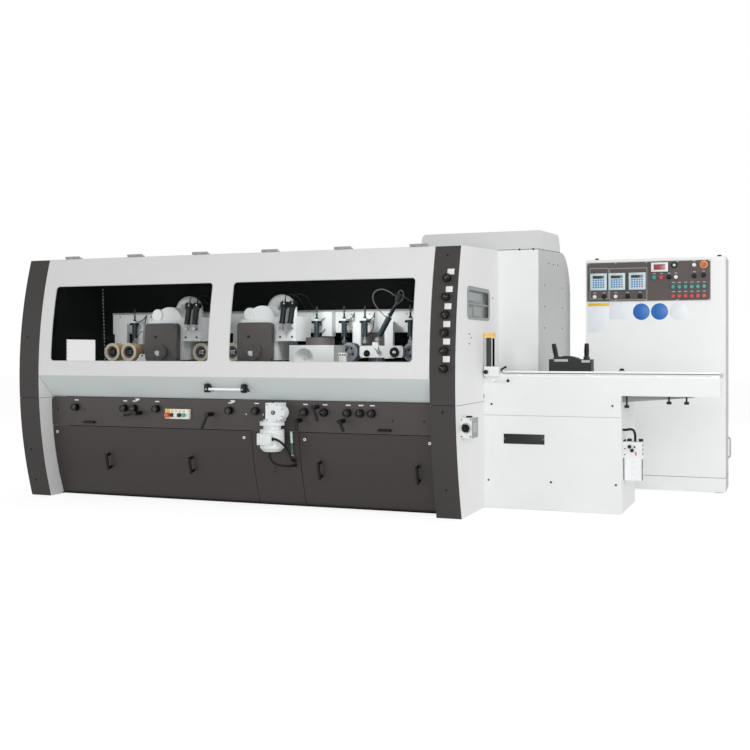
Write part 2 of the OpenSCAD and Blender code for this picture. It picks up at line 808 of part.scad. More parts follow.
// The curved guide block beside the fence line, with two upright grips
module guide_block() {
  gx = case_l + guide_x_share * infeed_l;
  gy = fence_y;
  top_z = table_z + guide_h;
  along_y(gy, guide_d) {
    translate([gx, table_z + seat_gap]) square([guide_w, guide_h - seat_gap]);
    intersection() {
      translate([gx + guide_crown_share * guide_w, top_z + guide_crown_rise - guide_crown_r])
        circle(r = guide_crown_r, $fn = bow_fn);
      translate([gx, table_z + seat_gap]) square([guide_w, guide_h + guide_crown_rise]);
    }
  }
  for (i = [0, 1]) {
    translate([gx + grip_x_shares[i] * guide_w, gy + guide_d / 2, top_z - grip_collar_h / 2])
      rotate([0, grip_leans[i], 0]) {
        cylinder(r = grip_collar_r, h = 2 * grip_collar_h, $fn = knob_fn);
        cylinder(r1 = grip_r, r2 = grip_mid_r, h = grip_l / 2 + grip_collar_h, $fn = knob_fn);
        translate([0, 0, grip_l / 2 + grip_collar_h])
          cylinder(r1 = grip_mid_r, r2 = grip_r, h = grip_l / 2, $fn = knob_fn);
      }
  }
}

// Control cabinet on feet, with the cable trunk to the rear housing
cabinet_foot_h = 10;
cabinet_foot_r = 30;
cabinet_foot_in = 50;
trunk_y = 30;
trunk_w = 150;
trunk_z = 120;
trunk_h = 160;
cab_x = rear_l + cabinet_gap;

module control_cabinet() color(white) in_frame() {
  difference() {
    box([cab_x, cabinet_y, cabinet_foot_h], [cab_x + cabinet_w, back_y, cabinet_h]);
    box([cab_x + sheet, cabinet_y + sheet, cabinet_foot_h + sheet],
      [cab_x + cabinet_w - sheet, back_y - sheet, cabinet_h - sheet]);
    box([cab_x + base_bottom_in, cabinet_y + base_bottom_in, 0],
      [cab_x + cabinet_w - base_bottom_in, back_y - base_bottom_in, cabinet_foot_h + overrun]);
  }
  for (x = [cab_x + cabinet_foot_in, cab_x + cabinet_w - cabinet_foot_in]) {
    for (y = [cabinet_y + cabinet_foot_in, back_y - cabinet_foot_in]) {
      translate([x, y, 0]) cylinder(r = cabinet_foot_r, h = cabinet_foot_h, $fn = round_fn);
    }
  }
  difference() {
    box([rear_l + seat_gap, cabinet_y + trunk_y, trunk_z],
      [cab_x - seat_gap, cabinet_y + trunk_y + trunk_w, trunk_z + trunk_h]);
    box([rear_l - overrun, cabinet_y + trunk_y + sheet, trunk_z + sheet],
      [cab_x + overrun, cabinet_y + trunk_y + trunk_w - sheet, trunk_z + trunk_h - sheet]);
  }
}

// Control stations: cabinet panel with its displays, rail push-button box and isolator box
panel_x = 8;
panel_w = 934;
panel_z = 1461;
panel_h = 309;
panel_t = 6;
keypad_shares = [0.0308, 0.1818, 0.3479];
keypad_w_share = 0.14;
keypad_low_share = 0.2890;
keypad_high_share = 0.7269;
keypad_d = 12;
meter_share = 0.529;
meter_w_share = 0.138;
meter_low_share = 0.7269;
meter_high_share = 0.9618;
selector_places_shares = [[0.7153, 0.8828], [0.6724, 0.5880], [0.8721, 0.6062], [0.9444, 0.6201],
  [0.1443, 0.1320], [0.3394, 0.1320], [0.4396, 0.1320]];
selector_r = 13;
selector_h = 15;
button_r = 14;
button_h = 12;
button_stem_r = 5;
button_stand = 4.6;
button_stem_in = 1.5;
stop_button_r = 20;
stop_button_h = 18;
row_first_share = 0.7073;
row_step_share = 0.04870;
start_row_share = 0.3424;
stop_row_share = 0.1134;
row_count = 6;
other_button_shares = [[0.8721, 0.8764], [0.5541, 0.5880], [0.6122, 0.5880], [0.7288, 0.5880],
  [0.0684, 0.1320], [0.2418, 0.1320]];
emergency_place_shares = [0.9457, 0.8824];
station_d = 24;
station_button_shares = [0.31, 0.47, 0.63, 0.80];
station_row_share = 0.40;
station_stop_share = 0.115;
station_stop_r = 17;
isolator_y = 119;
isolator_w = 75;
isolator_d = 146;
isolator_z = 523;
isolator_handle_r = 26;
isolator_grip_w = 14;
isolator_grip_l = 56;
isolator_stem_r = 8;
isolator_stem_l = 18;
isolator_knob_h = 22;
isolator_lean = 35;

px0 = cab_x + panel_x;
panel_y = cabinet_y - panel_t;
station_x = station_x_share * case_l;
station_y = door_y(station_z + station_h) - seat_gap;

function panel_at(p) = [px0 + p[0] * panel_w, panel_z + p[1] * panel_h];
button_places = concat([for (i = [0:row_count - 1]) [row_first_share + i * row_step_share,
  start_row_share]],
  [for (i = [0:row_count - 1]) [row_first_share + i * row_step_share, stop_row_share]],
    other_button_shares);
station_places = [for (s = station_button_shares) [station_x + s * station_w,
  station_z + station_row_share * station_h]];
station_stop = [station_x + station_stop_share * station_w, station_z + station_row_share * station_h];

module control_stations() color(dark_grey) in_frame() {
  difference() {
    box([px0, panel_y, panel_z], [px0 + panel_w, cabinet_y - seat_gap, panel_z + panel_h]);
    for (p = concat(button_places, [emergency_place_shares])) {
      bar_y(panel_at(p)[0], panel_y - overrun, panel_at(p)[1], button_stem_r + slide_gap,
        panel_t + 2 * overrun, knob_fn);
    }
  }
  for (s = keypad_shares) {
    display(s, keypad_w_share, keypad_low_share, keypad_high_share);
  }
  display(meter_share, meter_w_share, meter_low_share, meter_high_share);
  for (p = selector_places_shares) {
    bar_y(panel_at(p)[0], panel_y - seat_gap - selector_h, panel_at(p)[1], selector_r, selector_h, knob_fn);
  }
  color(cream) difference() {
    box([station_x, station_y - station_d, station_z], [station_x + station_w, station_y,
      station_z + station_h]);
    for (p = concat(station_places, [station_stop])) {
      bar_y(p[0], station_y - station_d - overrun, p[1], button_stem_r + slide_gap, station_d, knob_fn);
    }
  }
  color(white) difference() {
    box([case_l, isolator_y, isolator_z],
      [case_l + isolator_w, isolator_y + isolator_d, isolator_z + isolator_h]);
    bar_y(case_l + isolator_w / 2, isolator_y - overrun, isolator_z + isolator_h / 2,
      isolator_stem_r + slide_gap,
      isolator_stem_l + 2 * overrun, knob_fn);
  }
}

// A display or keypad box on the panel
module display(x_share, w_share, low_share, high_share) {
  lo = panel_at([x_share, low_share]);
  hi = panel_at([x_share + w_share, high_share]);
  box([lo[0], panel_y - seat_gap - keypad_d, lo[1]], [hi[0], panel_y - seat_gap, hi[1]]);
}

// A push button: cap and stem, in front of face y
module push_button(x, y, z, r, h) {
  bar_y(x, y - button_stand - h, z, r, h, knob_fn);
  bar_y(x, y - button_stand - h / 2, z, button_stem_r, h / 2 + button_stand + button_stem_in, knob_fn);
}

module panel_buttons() color(sea_green) in_frame() {
  for (p = button_places) {
    push_button(panel_at(p)[0], panel_y, panel_at(p)[1], button_r, button_h);
  }
}

module emergency_stop() color(red) in_frame() {
  push_button(panel_at(emergency_place_shares)[0], panel_y, panel_at(emergency_place_shares)[1],
    stop_button_r,
    stop_button_h);
}

module station_buttons() color(red) in_frame() {
  for (p = station_places) {
    push_button(p[0], station_y - station_d, p[1], button_r, button_h);
  }
  push_button(station_stop[0], station_y - station_d, station_stop[1], station_stop_r, stop_button_h);
}

module isolator_handle() color(near_black) in_frame() {
  x = case_l + isolator_w / 2;
  z = isolator_z + isolator_h / 2;
  bar_y(x, isolator_y - seat_gap - isolator_knob_h / 2, z, isolator_handle_r, isolator_knob_h / 2, knob_fn);
  bar_y(x, isolator_y - seat_gap - isolator_knob_h / 2, z, isolator_stem_r,
    isolator_knob_h / 2 + isolator_stem_l, knob_fn);
  translate([x, isolator_y - seat_gap - isolator_knob_h, z]) rotate([0, -isolator_lean, 0])
    box([-isolator_grip_w / 2, 0, -isolator_grip_l / 2], [isolator_grip_w / 2, isolator_knob_h,
      isolator_grip_l / 2]);
}

// Feed beam behind the path, its posts and the roller carriers
beam_x_share = 0.045;
beam_end_share = 0.868;
beam_behind = 266;
beam_y = path_y + beam_behind;
beam_d = 80;
beam_z = 1215;
beam_h = 155;
ledge_h = 14;
ledge_out = 10;
post_shares = [0.065, 0.39, 0.850];
beam_post_w = 100;
beam_post_d = 62;
carrier_w = 64;
carrier_behind = 169;
carrier_y = path_y + carrier_behind;
carrier_t = 37;
carrier_z = 1022;
carrier_top_z = 1290;
carrier_rib_w = 40;
arm_carrier_share = 0.772;
outfeed_roller_share = 0.0934;
infeed_roller_shares = [0.6969, 0.8405];
roller_count = 6;
roller_pair_gap = 12.7;
roller_unit_gap = 21;
roller_cover_gap = 55;
roller_axis_z = table_z + path_h + roller_d / 2;
roller_shaft_r = 20;
roller_behind = 16;
roller_y = path_y + roller_behind;
roller_w = 85;
roller_collar_r = 28;
roller_collar_w = 20;
press_arm_ahead = 27;
press_arm_y = path_y - press_arm_ahead;
press_arm_t = 30;
press_arm_share = 0.727;
press_arm_l = 330;
press_arm_z = 1030;
press_arm_h = 84;
press_pivot_r = 16;
hanger_w = 32;
hanger_h = 14;
hanger_z = 1300;
cylinder_behind = 139;
cylinder_y = path_y + cylinder_behind;
cylinder_x_shares = [0.1317, 0.671, 0.720, 0.825];
cylinder_unit_gap = 36;
press_lug_w = 44;
press_lug_h = 26;

function roller_x(i) = [outfeed_roller_share * case_l,
  outfeed_roller_share * case_l + roller_d + roller_pair_gap,
  top_x(1) + cast_right + roller_d / 2 + roller_unit_gap,
  top_x(0) - unit_w / 2 - roller_d / 2 - roller_cover_gap, infeed_roller_shares[0] * case_l,
  infeed_roller_shares[1] * case_l][i];

// Places of the upright air cylinders: one beside the first top spindle unit, the others along the beam
function cylinder_places() = concat([top_x(0) + cast_right + slide_w + air_cap_r + cylinder_unit_gap],
  [for (s = cylinder_x_shares) s * case_l]);

module carrier(x, bore) {
  difference() {
    union() {
      box([x - carrier_w / 2, carrier_y, carrier_z], [x + carrier_w / 2, carrier_y + carrier_t,
        carrier_top_z]);
      box([x - carrier_rib_w / 2, carrier_y + carrier_t - overrun, beam_z + overrun],
        [x + carrier_rib_w / 2, beam_y - seat_gap, carrier_top_z]);
    }
    bar_y(x, carrier_y - overrun, roller_axis_z, bore, carrier_t + 2 * overrun);
  }
}

module feed_beam() color(cast_white) in_frame() {
  box([beam_x_share * case_l, beam_y, beam_z], [beam_end_share * case_l, beam_y + beam_d, beam_z + beam_h]);
  box([beam_x_share * case_l, beam_y - ledge_out, beam_z + beam_h],
    [beam_end_share * case_l, beam_y + beam_d, beam_z + beam_h + ledge_h]);
  for (s = post_shares) {
    box([s * case_l - beam_post_w / 2, beam_y, table_z],
      [s * case_l + beam_post_w / 2, beam_y + beam_post_d, beam_z - seat_gap]);
  }
  for (i = [0:roller_count - 1]) {
    carrier(roller_x(i), roller_shaft_r + run_gap);
  }
  carrier(arm_carrier_share * case_l, press_pivot_r + slide_gap);
  for (x = cylinder_places()) {
    box([x - hanger_w / 2, cylinder_y - hanger_w / 2, hanger_z],
      [x + hanger_w / 2, beam_y - seat_gap, hanger_z + hanger_h]);
  }
  press_arm();
}

// Rocking arm in front of the infeed rollers, on its pivot
module press_arm() {
  x0 = press_arm_share * case_l;
  r = press_arm_h / 4;
  difference() {
    along_y(press_arm_y, press_arm_t) round_rect(x0, press_arm_z, x0 + press_arm_l,
      press_arm_z + press_arm_h, r);
    bar_y(arm_carrier_share * case_l, press_arm_y - overrun, roller_axis_z, press_pivot_r + slide_gap,
      press_arm_t + 2 * overrun);
  }
  box([slant_x_share * case_l - press_lug_w / 2, press_arm_y, press_arm_z + press_arm_h],
    [slant_x_share * case_l + press_lug_w / 2, press_arm_y + press_arm_t,
      press_arm_z + press_arm_h + press_lug_h]);
  bar_y(arm_carrier_share * case_l, press_arm_y - overrun, roller_axis_z, press_pivot_r,
    carrier_y + carrier_t + overrun - press_arm_y);
}

// Air cylinders: body with end caps, rod and fork
air_r = 20;
air_cap_r = 23;
air_cap_h = 14;
air_l = 120;
air_rod_r = 8;
air_rod_l = 34;
fork_w = 26;
fork_h = 24;
twin_shares = [0.86, 1.10];
twin_ahead = 125;
twin_y = path_y - twin_ahead;
twin_z = 1395;
twin_lean = 8;
slant_x_share = 0.763;
slant_z = 1136;
slant_lean = 29;
slant_ahead = 12;
slant_y = path_y - slant_ahead;
slant_scale_share = 1.25;

// An upright air cylinder whose top face is at the origin
module air_cylinder(l) {
  translate([0, 0, -l]) cylinder(r = air_r, h = l, $fn = knob_fn);
  translate([0, 0, -air_cap_h]) cylinder(r = air_cap_r, h = air_cap_h, $fn = knob_fn);
  translate([0, 0, -l]) cylinder(r = air_cap_r, h = air_cap_h, $fn = knob_fn);
  translate([0, 0, -l - air_rod_l]) cylinder(r = air_rod_r, h = air_rod_l + overrun, $fn = knob_fn);
  translate([-fork_w / 2, -fork_w / 2, -l - air_rod_l - fork_h / 2]) cube([fork_w, fork_w, fork_h]);
}

module air_cylinders() color(teal) in_frame() {
  for (x = cylinder_places()) {
    translate([x, cylinder_y, hanger_z - seat_gap]) air_cylinder(air_l);
  }
  for (x = [top_x(0), top_x(1)]) {
    for (s = twin_shares) {
      translate([x + s * unit_w, twin_y, twin_z]) rotate([0, twin_lean, 0]) air_cylinder(air_l);
    }
  }
  translate([slant_x_share * case_l, slant_y, slant_z]) rotate([0, slant_lean, 0])
    translate([0, 0, slant_scale_share * air_l + air_rod_l + fork_h]) {
      air_cylinder(slant_scale_share * air_l);
      cylinder(r = air_rod_r, h = air_l, $fn = knob_fn);
    }
}

// Top spindle units and the hoods of the side spindles
unit_w = 276;
unit_r = 28;
unit_z = 1003;
unit_h = 283;
unit_ahead = 139;
unit_y = path_y - unit_ahead;
unit_cover_d = 58;
boss_r = 73;
boss_l = 24;
cast_z = 1010;
cast_h = 300;
cast_right = 165;
slide_w = 155;
slide_ahead = 99;
slide_y = path_y - slide_ahead;
slide_d = 260;
slide_z = 1150;
slide_h = 180;
hump_r = 112;
hump_x = 13;
hump_z = 1300;
hump_ahead = 39;
hump_y = path_y - hump_ahead;
hump_l = 280;
cavity_r = 74;
ribs = 18;
rib_r = 46;
rib_depth = 6;
rib_x = 86;
rib_z = 1352;
rib_l = 120;
elbow_r = 45;
elbow_bend = 70;
elbow_x = 110;
elbow_z = 1385;
elbow_behind = 101;
elbow_y = path_y + elbow_behind;
elbow_sweep = 160;
top_shaft_ahead = 99;
top_shaft_y = path_y - top_shaft_ahead;
top_shaft_l = 440;
pulley_r = 55;
pulley_behind = 286;
pulley_y = path_y + pulley_behind;
pulley_l = 45;
top_axis_z = table_z + path_h + cutter_gap + cutter_r;
side_hood_w = 346;
side_hood_ahead = 219;
side_hood_y = path_y - side_hood_ahead;
side_hood_d = 210;
side_hood_h = 191;
cap_r = 104;
cap_h = 56;
side_cut_z = 13;
side_cut_h = 120;
side_shaft_z = 660;
dish_r = 75;
dish_tip_r = 20;
dish_d = 30;
dish_x = 60;
right_hood_w = 220;
right_hood_z = 1070;
right_hood_behind = 236;
right_hood_y = path_y + right_hood_behind;
right_hood_d = 112;
right_shaft_top = 1150;
left_shaft_top = 1105;
bolt_r = 7;
bolt_h = 6;
bolt_in = 30;

function top_x(i) = (i == 0 ? first_top_share : second_top_share) * case_l;

// A wheel outline with n teeth between two radii
module toothed(n, r, depth) {
  polygon([for (i = [0:2 * n - 1]) (i % 2 == 0 ? r : r - depth) * [cos(180 * i / n), sin(180 * i / n)]]);
}

module spindle_unit() {
  color(dark_grey) difference() {
    union() {
      along_y(unit_y, unit_cover_d) round_rect(-unit_w / 2, unit_z, unit_w / 2, unit_z + unit_h, unit_r);
      bar_y(0, unit_y - boss_l, top_axis_z + bolt_r, boss_r - 2 * bolt_r, boss_l + overrun);
    }
    bar_y(0, top_shaft_y - slide_gap, top_axis_z, spindle_r + run_gap, unit_cover_d);
  }
  difference() {
    union() {
      box([-unit_w / 2, unit_y + unit_cover_d + seat_gap, cast_z], [cast_right, beam_y, cast_z + cast_h]);
      bar_y(hump_x, hump_y, hump_z, hump_r, hump_l, bow_fn);
      box([cast_right - overrun, slide_y, slide_z], [cast_right + slide_w, slide_y + slide_d,
        slide_z + slide_h]);
    }
    bar_y(0, path_y - bearing_in, top_axis_z, cavity_r, path_w + 2 * bearing_in);
    box([-cavity_r, path_y - bearing_in, 0], [cavity_r, fence_y + bearing_in, top_axis_z]);
    bar_y(0, unit_y, top_axis_z, spindle_r + run_gap, beam_y);
  }
  along_y(hump_y - overrun, rib_l) translate([-rib_x, rib_z + seat_gap]) toothed(ribs, rib_r, rib_depth);
  translate([elbow_x, elbow_y, elbow_z]) rotate([90, 0, 0]) rotate([0, 0, (180 - elbow_sweep) / 2])
    rotate_extrude(angle = elbow_sweep, $fn = round_fn) translate([elbow_bend, 0]) circle(r = elbow_r,
      $fn = round_fn);
  translate([elbow_x + elbow_bend, elbow_y, slide_z + slide_h - overrun])
    cylinder(r = elbow_r, h = elbow_z - slide_z - slide_h + 2 * overrun, $fn = round_fn);
  for (x = [cast_right + bolt_in, cast_right + slide_w - bolt_in]) {
    for (z = [slide_z + bolt_in, slide_z + slide_h / 2]) {
      bar_y(x, slide_y - bolt_h, z, bolt_r, bolt_h + overrun, knob_fn);
    }
  }
  for (s = twin_shares) {
    box([s * unit_w - fork_w / 2, twin_y + air_cap_r + seat_gap, slide_z + slide_h],
      [s * unit_w + fork_w / 2, slide_y + fork_w, twin_z]);
  }
}

module spindle_units() color(cast_white) in_frame() {
  for (i = [0, 1]) {
    translate([top_x(i), 0, 0]) spindle_unit();
  }
  left_hood();
  right_hood();
}

// Hood of the left side spindle, open towards the work path, with its bearing cap
module left_hood() {
  difference() {
    box([left_x - side_hood_w / 2, side_hood_y, table_z + seat_gap],
      [left_x + side_hood_w / 2, side_hood_y + side_hood_d, table_z + side_hood_h]);
    translate([left_x, left_axis_y, 0])
      cylinder(r = cavity_r, h = table_z + side_cut_z + side_cut_h + overrun, $fn = round_fn);
    box([left_x - cavity_r, left_axis_y, 0],
      [left_x + cavity_r, path_y + overrun, table_z + side_cut_z + side_cut_h + overrun]);
    translate([left_x, left_axis_y, 0])
      cylinder(r = side_spindle_r + run_gap, h = left_shaft_top + slide_gap, $fn = round_fn);
    translate([left_x - dish_x, side_hood_y + dish_d, table_z + side_hood_h / 2]) rotate([90, 0, 0])
      cylinder(r1 = dish_tip_r, r2 = dish_r, h = dish_d + seat_gap, $fn = round_fn);
  }
  color(dark_grey) translate([left_x, left_axis_y, table_z + side_hood_h + seat_gap])
    cylinder(r = cap_r, h = cap_h, $fn = round_fn);
}

// Hood and upper bearing of the right side spindle, under the feed beam
module right_hood() {
  color(dark_grey) difference() {
    box([right_x - right_hood_w / 2, right_hood_y, right_hood_z],
      [right_x + right_hood_w / 2, right_hood_y + right_hood_d, beam_z]);
    translate([right_x, right_axis_y, 0])
      cylinder(r = side_spindle_r + run_gap, h = right_shaft_top + slide_gap, $fn = round_fn);
  }
}

// Cutter heads: a drum with gullets on a shaft
gullets = 4;
gullet_r = 16;
gullet_out_share = 0.98;

module cutter_head(h) {
  difference() {
    cylinder(r = cutter_r, h = h, $fn = round_fn);
    for (i = [0:gullets - 1]) {
      rotate([0, 0, i * 360 / gullets]) translate([gullet_out_share * cutter_r, 0, -overrun])
        cylinder(r = gullet_r, h = h + 2 * overrun, $fn = knob_fn);
    }
  }
}

module bottom_spindle() color(steel) in_frame() {
  translate([bottom_x, path_y + cutter_gap, bottom_axis_z]) rotate([-90, 0,
    0]) cutter_head(path_w - 2 * cutter_gap);
  bar_y(bottom_x, path_y - bearing_in - bearing_t, bottom_axis_z, spindle_r,
    path_w + 2 * bearing_in + 2 * bearing_t);
}

module top_spindle(i) color(steel) in_frame() {
  translate([top_x(i), path_y + cutter_gap, top_axis_z]) rotate([-90, 0,
    0]) cutter_head(path_w - 2 * cutter_gap);
  bar_y(top_x(i), top_shaft_y, top_axis_z, spindle_r, top_shaft_l);
  bar_y(top_x(i), pulley_y, top_axis_z, pulley_r, pulley_l);
}

module side_spindle(x, y, top) {
  translate([x, y, table_z + side_cut_z]) cutter_head(side_cut_h);
  translate([x, y, side_shaft_z]) cylinder(r = side_spindle_r, h = top - side_shaft_z, $fn = round_fn);
}

module left_spindle() color(steel) in_frame() side_spindle(left_x, left_axis_y, left_shaft_top);

module right_spindle() color(steel) in_frame() side_spindle(right_x, right_axis_y, right_shaft_top);

// Feed rollers: tyre with a recessed hub on a shaft; the infeed ones are toothed steel
roller_rim = 22;
roller_recess = 14;
roller_boss_r = 17;
roller_boss_in = 4;
roller_teeth = 48;
roller_tooth_h = 4;
roller_hole_r = 7;
roller_hole_share = 0.55;

module roller_body(toothed_rim) {
  r = roller_d / 2;
  difference() {
    if (toothed_rim) linear_extrude(height = roller_w) toothed(roller_teeth, r, roller_tooth_h);
    else cylinder(r = r, h = roller_w, $fn = round_fn);
    translate([0, 0, -overrun]) cylinder(r = r - roller_rim, h = roller_recess + overrun, $fn = round_fn);
    if (toothed_rim) for (i = [0:2]) {
      rotate([0, 0, i * 120]) translate([roller_hole_share * (r - roller_rim), 0, 0])
        cylinder(r = roller_hole_r, h = roller_w / 2, $fn = knob_fn);
    }
  }
  translate([0, 0, roller_boss_in]) cylinder(r = roller_boss_r, h = roller_w, $fn = round_fn);
  cylinder(r = roller_boss_r / 2, h = roller_recess, $fn = 6);
}

module feed_roller(i) color(i < 4 ? rubber : steel) in_frame() {
  translate([roller_x(i), roller_y, roller_axis_z]) rotate([-90, 0, 0]) roller_body(i > 3);
  bar_y(roller_x(i), roller_y + roller_w - overrun, roller_axis_z, roller_shaft_r,
    carrier_y + carrier_t + roller_collar_w - roller_y - roller_w + overrun);
  bar_y(roller_x(i), carrier_y + carrier_t + slide_gap, roller_axis_z, roller_collar_r, roller_collar_w);
}

// Gearmotor that raises the head: worm box, flange, motor and terminal box
gear_front = 14;
gear_back = 128;
gear_left = 72;
gear_right = 26;
gear_low = 61;
gear_high = 64;
gear_drum_r = 50;
gear_drum_x = 20;
gear_drum_d = 66;
gear_tube_end = 178;
gear_hole_r = 9;
gear_hole_x = 13;
gear_ring_r = 22;
gear_ring_h = 4;
motor_x = 50;
motor_y = 71;
motor_r = 82;
motor_low_r = 58;
motor_top_z = 548;
motor_z = 424;
motor_cap_h = 24;
flange_r = 84;
flange_t = 24;
flange_z = 576;
neck_r = 60;
term_x = 111;
term_w = 104;
term_y = -36;
term_d = 46;
term_z = 449;
term_h = 76;
motor_ribs = 5;
motor_rib_h = 3;

module lift_gearmotor() color(cast_white) in_frame() {
  difference() {
    union() {
      box([gear_x - gear_left, gear_front, gear_z - gear_low],
        [gear_x + gear_right, gear_back, gear_z + gear_high]);
      bar_y(gear_x + gear_drum_x, gear_front, gear_z, gear_drum_r, gear_drum_d);
      bar_y(gear_x, gear_front, gear_z, gear_tube_r, gear_tube_end - gear_front);
      bar_y(gear_x - gear_hole_x, gear_front - gear_ring_h, gear_z, gear_ring_r, gear_ring_h + overrun);
    }
    bar_y(gear_x - gear_hole_x, gear_front - overrun, gear_z, gear_hole_r, gear_back / 2);
  }
  translate([gear_x - motor_x, motor_y, 0]) {
    translate([0, 0, flange_z]) cylinder(r = flange_r, h = flange_t, $fn = round_fn);
    translate([0, 0, motor_top_z]) cylinder(r = neck_r, h = gear_z - gear_low - motor_top_z + overrun,
      $fn = round_fn);
    translate([0, 0, motor_z]) cylinder(r = motor_r, h = motor_top_z - motor_z, $fn = round_fn);
    translate([0, 0, motor_z - motor_cap_h]) cylinder(r1 = motor_low_r, r2 = motor_r, h = motor_cap_h,
      $fn = round_fn);
    for (i = [1:motor_ribs]) {
      translate([0, 0, motor_z + i * (motor_top_z - motor_z) / (motor_ribs + 1)])
        cylinder(r = motor_r + motor_rib_h, h = motor_rib_h, $fn = round_fn);
    }
  }
  box([gear_x - term_x, term_y, term_z], [gear_x - term_x + term_w, term_y + term_d, term_z + term_h]);
}

// Power leads held at both ends: two at the gearmotor, one at the lubricator
lead_r = 7.5;
lead_sides = 10;
lead_refs = [[1, -1, 1], [1, -1, 1], [1, 1, 0]];
lead_gap = 0.8;
lead_gland_r = 12;
lead_gland_l = 17;
gland_x = 62;
gland_z = 330;
gland_low_z = 296;
gland_zs = [gland_z, gland_low_z];
term_lead_shares = [0.478, 0.526];
cap_lead_x = 14;
cap_lead_y = 11;
base_lead_y = 71;
base_lead_share = 0.711;
lube_lead_shares = [0.59, 0.34];

function gland_y(z) = door_y(z + lead_gland_r) - seat_gap - lead_gland_l;

function lead_start(i) = [
  [gear_x - term_x + term_w + lead_gap, term_y + term_lead_shares[0] * term_d,
    term_z + term_lead_shares[1] * term_h],
  [gear_x - motor_x - cap_lead_x, motor_y - cap_lead_y, motor_z - motor_cap_h - lead_gap / 2],
  [infeed_x1 + lead_gap, path_y + base_lead_y, base_lead_share * infeed_base_h]][i];
function lead_end(i) = [
  [gear_x + gland_x, gland_y(gland_zs[0]), gland_zs[0]],
  [gear_x + gland_x, gland_y(gland_zs[1]), gland_zs[1]],
  [infeed_x1 + lube_lead_shares[0] * lube_w, lube_y + lube_lead_shares[1] * lube_d,
    lube_z + lube_h + lead_gap / 2]][i];

// Way of each lead, as shares of the way from its start to its end along X, Y and Z
lead_way_shares = [
  [[0, 0, 0], [0.32, 0, 0], [0.71, 0.082, 0.1], [1.01, 0.196, 0.27], [1.18, 0.34, 0.484],
    [1.2, 0.505, 0.698], [1.13, 0.68, 0.862], [1.04, 0.835, 0.962], [1, 0.928, 0.994], [1, 1, 1]],
  [[0, 0, 0], [0, 0, 0.19], [0.032, 0.016, 0.42], [0.16, 0.08, 0.71], [0.384, 0.19, 0.885],
    [0.64, 0.35, 0.96], [0.848, 0.556, 0.99], [0.968, 0.778, 1], [1, 0.905, 1], [1, 1, 1]],
  [[0, 0, 0], [0.3, 0, 0], [0.66, 0.094, -0.06], [0.91, 0.313, 0.049], [1.01, 0.594, 0.32],
    [1.01, 0.844, 0.61], [1, 1, 0.815], [1, 1, 1]]];

function lead_route(i) = [for (w = lead_way_shares[i]) [for (k = [0:2])
  lead_start(i)[k] + w[k] * (lead_end(i)[k] - lead_start(i)[k])]];

function unit(v) = v / norm(v);
function tangent(p, i) = unit(p[min(i + 1, len(p) - 1)] - p[max(i - 1, 0)]);
function ring(p, i, r, ref) = let (t = tangent(p, i), n = unit(cross(t, ref)), b = cross(t, n))
  [for (k = [0:lead_sides - 1]) p[i] + r * cos(360 * k / lead_sides) * n + r * sin(360 * k / lead_sides) * b];

module lead(p, ref) {
  n = lead_sides;
  m = len(p);
  points = [for (i = [0:m - 1]) each ring(p, i, lead_r, ref)];
  walls = [for (i = [0:m - 2]) for (k = [0:n - 1]) each
    [[i * n + k, (i + 1) * n + (k + 1) % n, i * n + (k + 1) % n],
      [i * n + k, (i + 1) * n + k, (i + 1) * n + (k + 1) % n]]];
  ends = [[for (k = [0:n - 1]) k], [for (k = [n - 1:-1:0]) (m - 1) * n + k]];
  polyhedron(points = points, faces = concat(walls, ends));
}

module power_leads() color(near_black) in_frame() {
  for (i = [0:len(lead_refs) - 1]) {
    lead(lead_route(i), lead_refs[i]);
  }
  for (i = [0, 1]) {
    bar_y(gear_x + gland_x, gland_y(gland_zs[i]), gland_zs[i], lead_gland_r, lead_gland_l, knob_fn);
  }
}

// Central lubricator on the side of the infeed base
lube_w = 124;
lube_behind = 101;
lube_y = path_y + lube_behind;
lube_d = 100;
lube_drop = 416;
lube_z = infeed_base_h - lube_drop;
lube_h = 108;
tank_h = 148;
tank_in = 5;
lube_cap_r = 15;
lube_cap_h = 16;
lube_cap_shares = [0.25, 0.85];
lube_cap_in_share = 0.75;

module lubricator() color(white) in_frame() {
  x0 = infeed_x1 + seat_gap;
  box([x0, lube_y, lube_z], [x0 + lube_w, lube_y + lube_d, lube_z + lube_h]);
  box([x0 + tank_in, lube_y + tank_in, lube_z - tank_h],
    [x0 + lube_w - tank_in, lube_y + lube_d - tank_in, lube_z - seat_gap]);
  for (s = lube_cap_shares) {
    translate([x0 + s * lube_w, lube_y + lube_cap_in_share * lube_d, lube_z + lube_h + seat_gap])
      cylinder(r = lube_cap_r, h = lube_cap_h, $fn = knob_fn);
  }
}

// Hood: bowed sheet with two windows, slanted lip, end returns and hinge knuckles
hood_gap = 3;
lip_y = 170;
lip_gap = 4;
lip_t = 6;
return_d = 45;
hood_flange_gap = 6;
window_shares = [[0.0829, 0.4722], [0.5212, 0.9144]];
window_r = 25;
pane_lap = 25;
pane_t = 5;
handle_x_share = 0.5072;
handle_z = 815;
handle_out = 58;
handle_bar_r = 10;
handle_bracket_w = 26;
handle_pad = 36;
handle_nose = 14;
hood_x0 = column_w + hood_gap;
hood_x1 = case_l - column_w - hood_gap;
lip_z = rail_top_z + lip_gap;

function lip_at(z) = arc_y(crease_z) + (crease_z - z) * (lip_y - arc_y(crease_z)) / (crease_z - lip_z);

module hood_outline() {
  bow_band(0, sheet, crease_z, case_h);
  polygon([[arc_y(crease_z), crease_z], [lip_y, lip_z], [lip_y, lip_z + lip_t],
    [arc_y(crease_z) + sheet, crease_z + lip_t]]);
  translate([arc_y(case_h), case_h - sheet]) square([roof_y - hood_flange_gap - arc_y(case_h), sheet]);
}

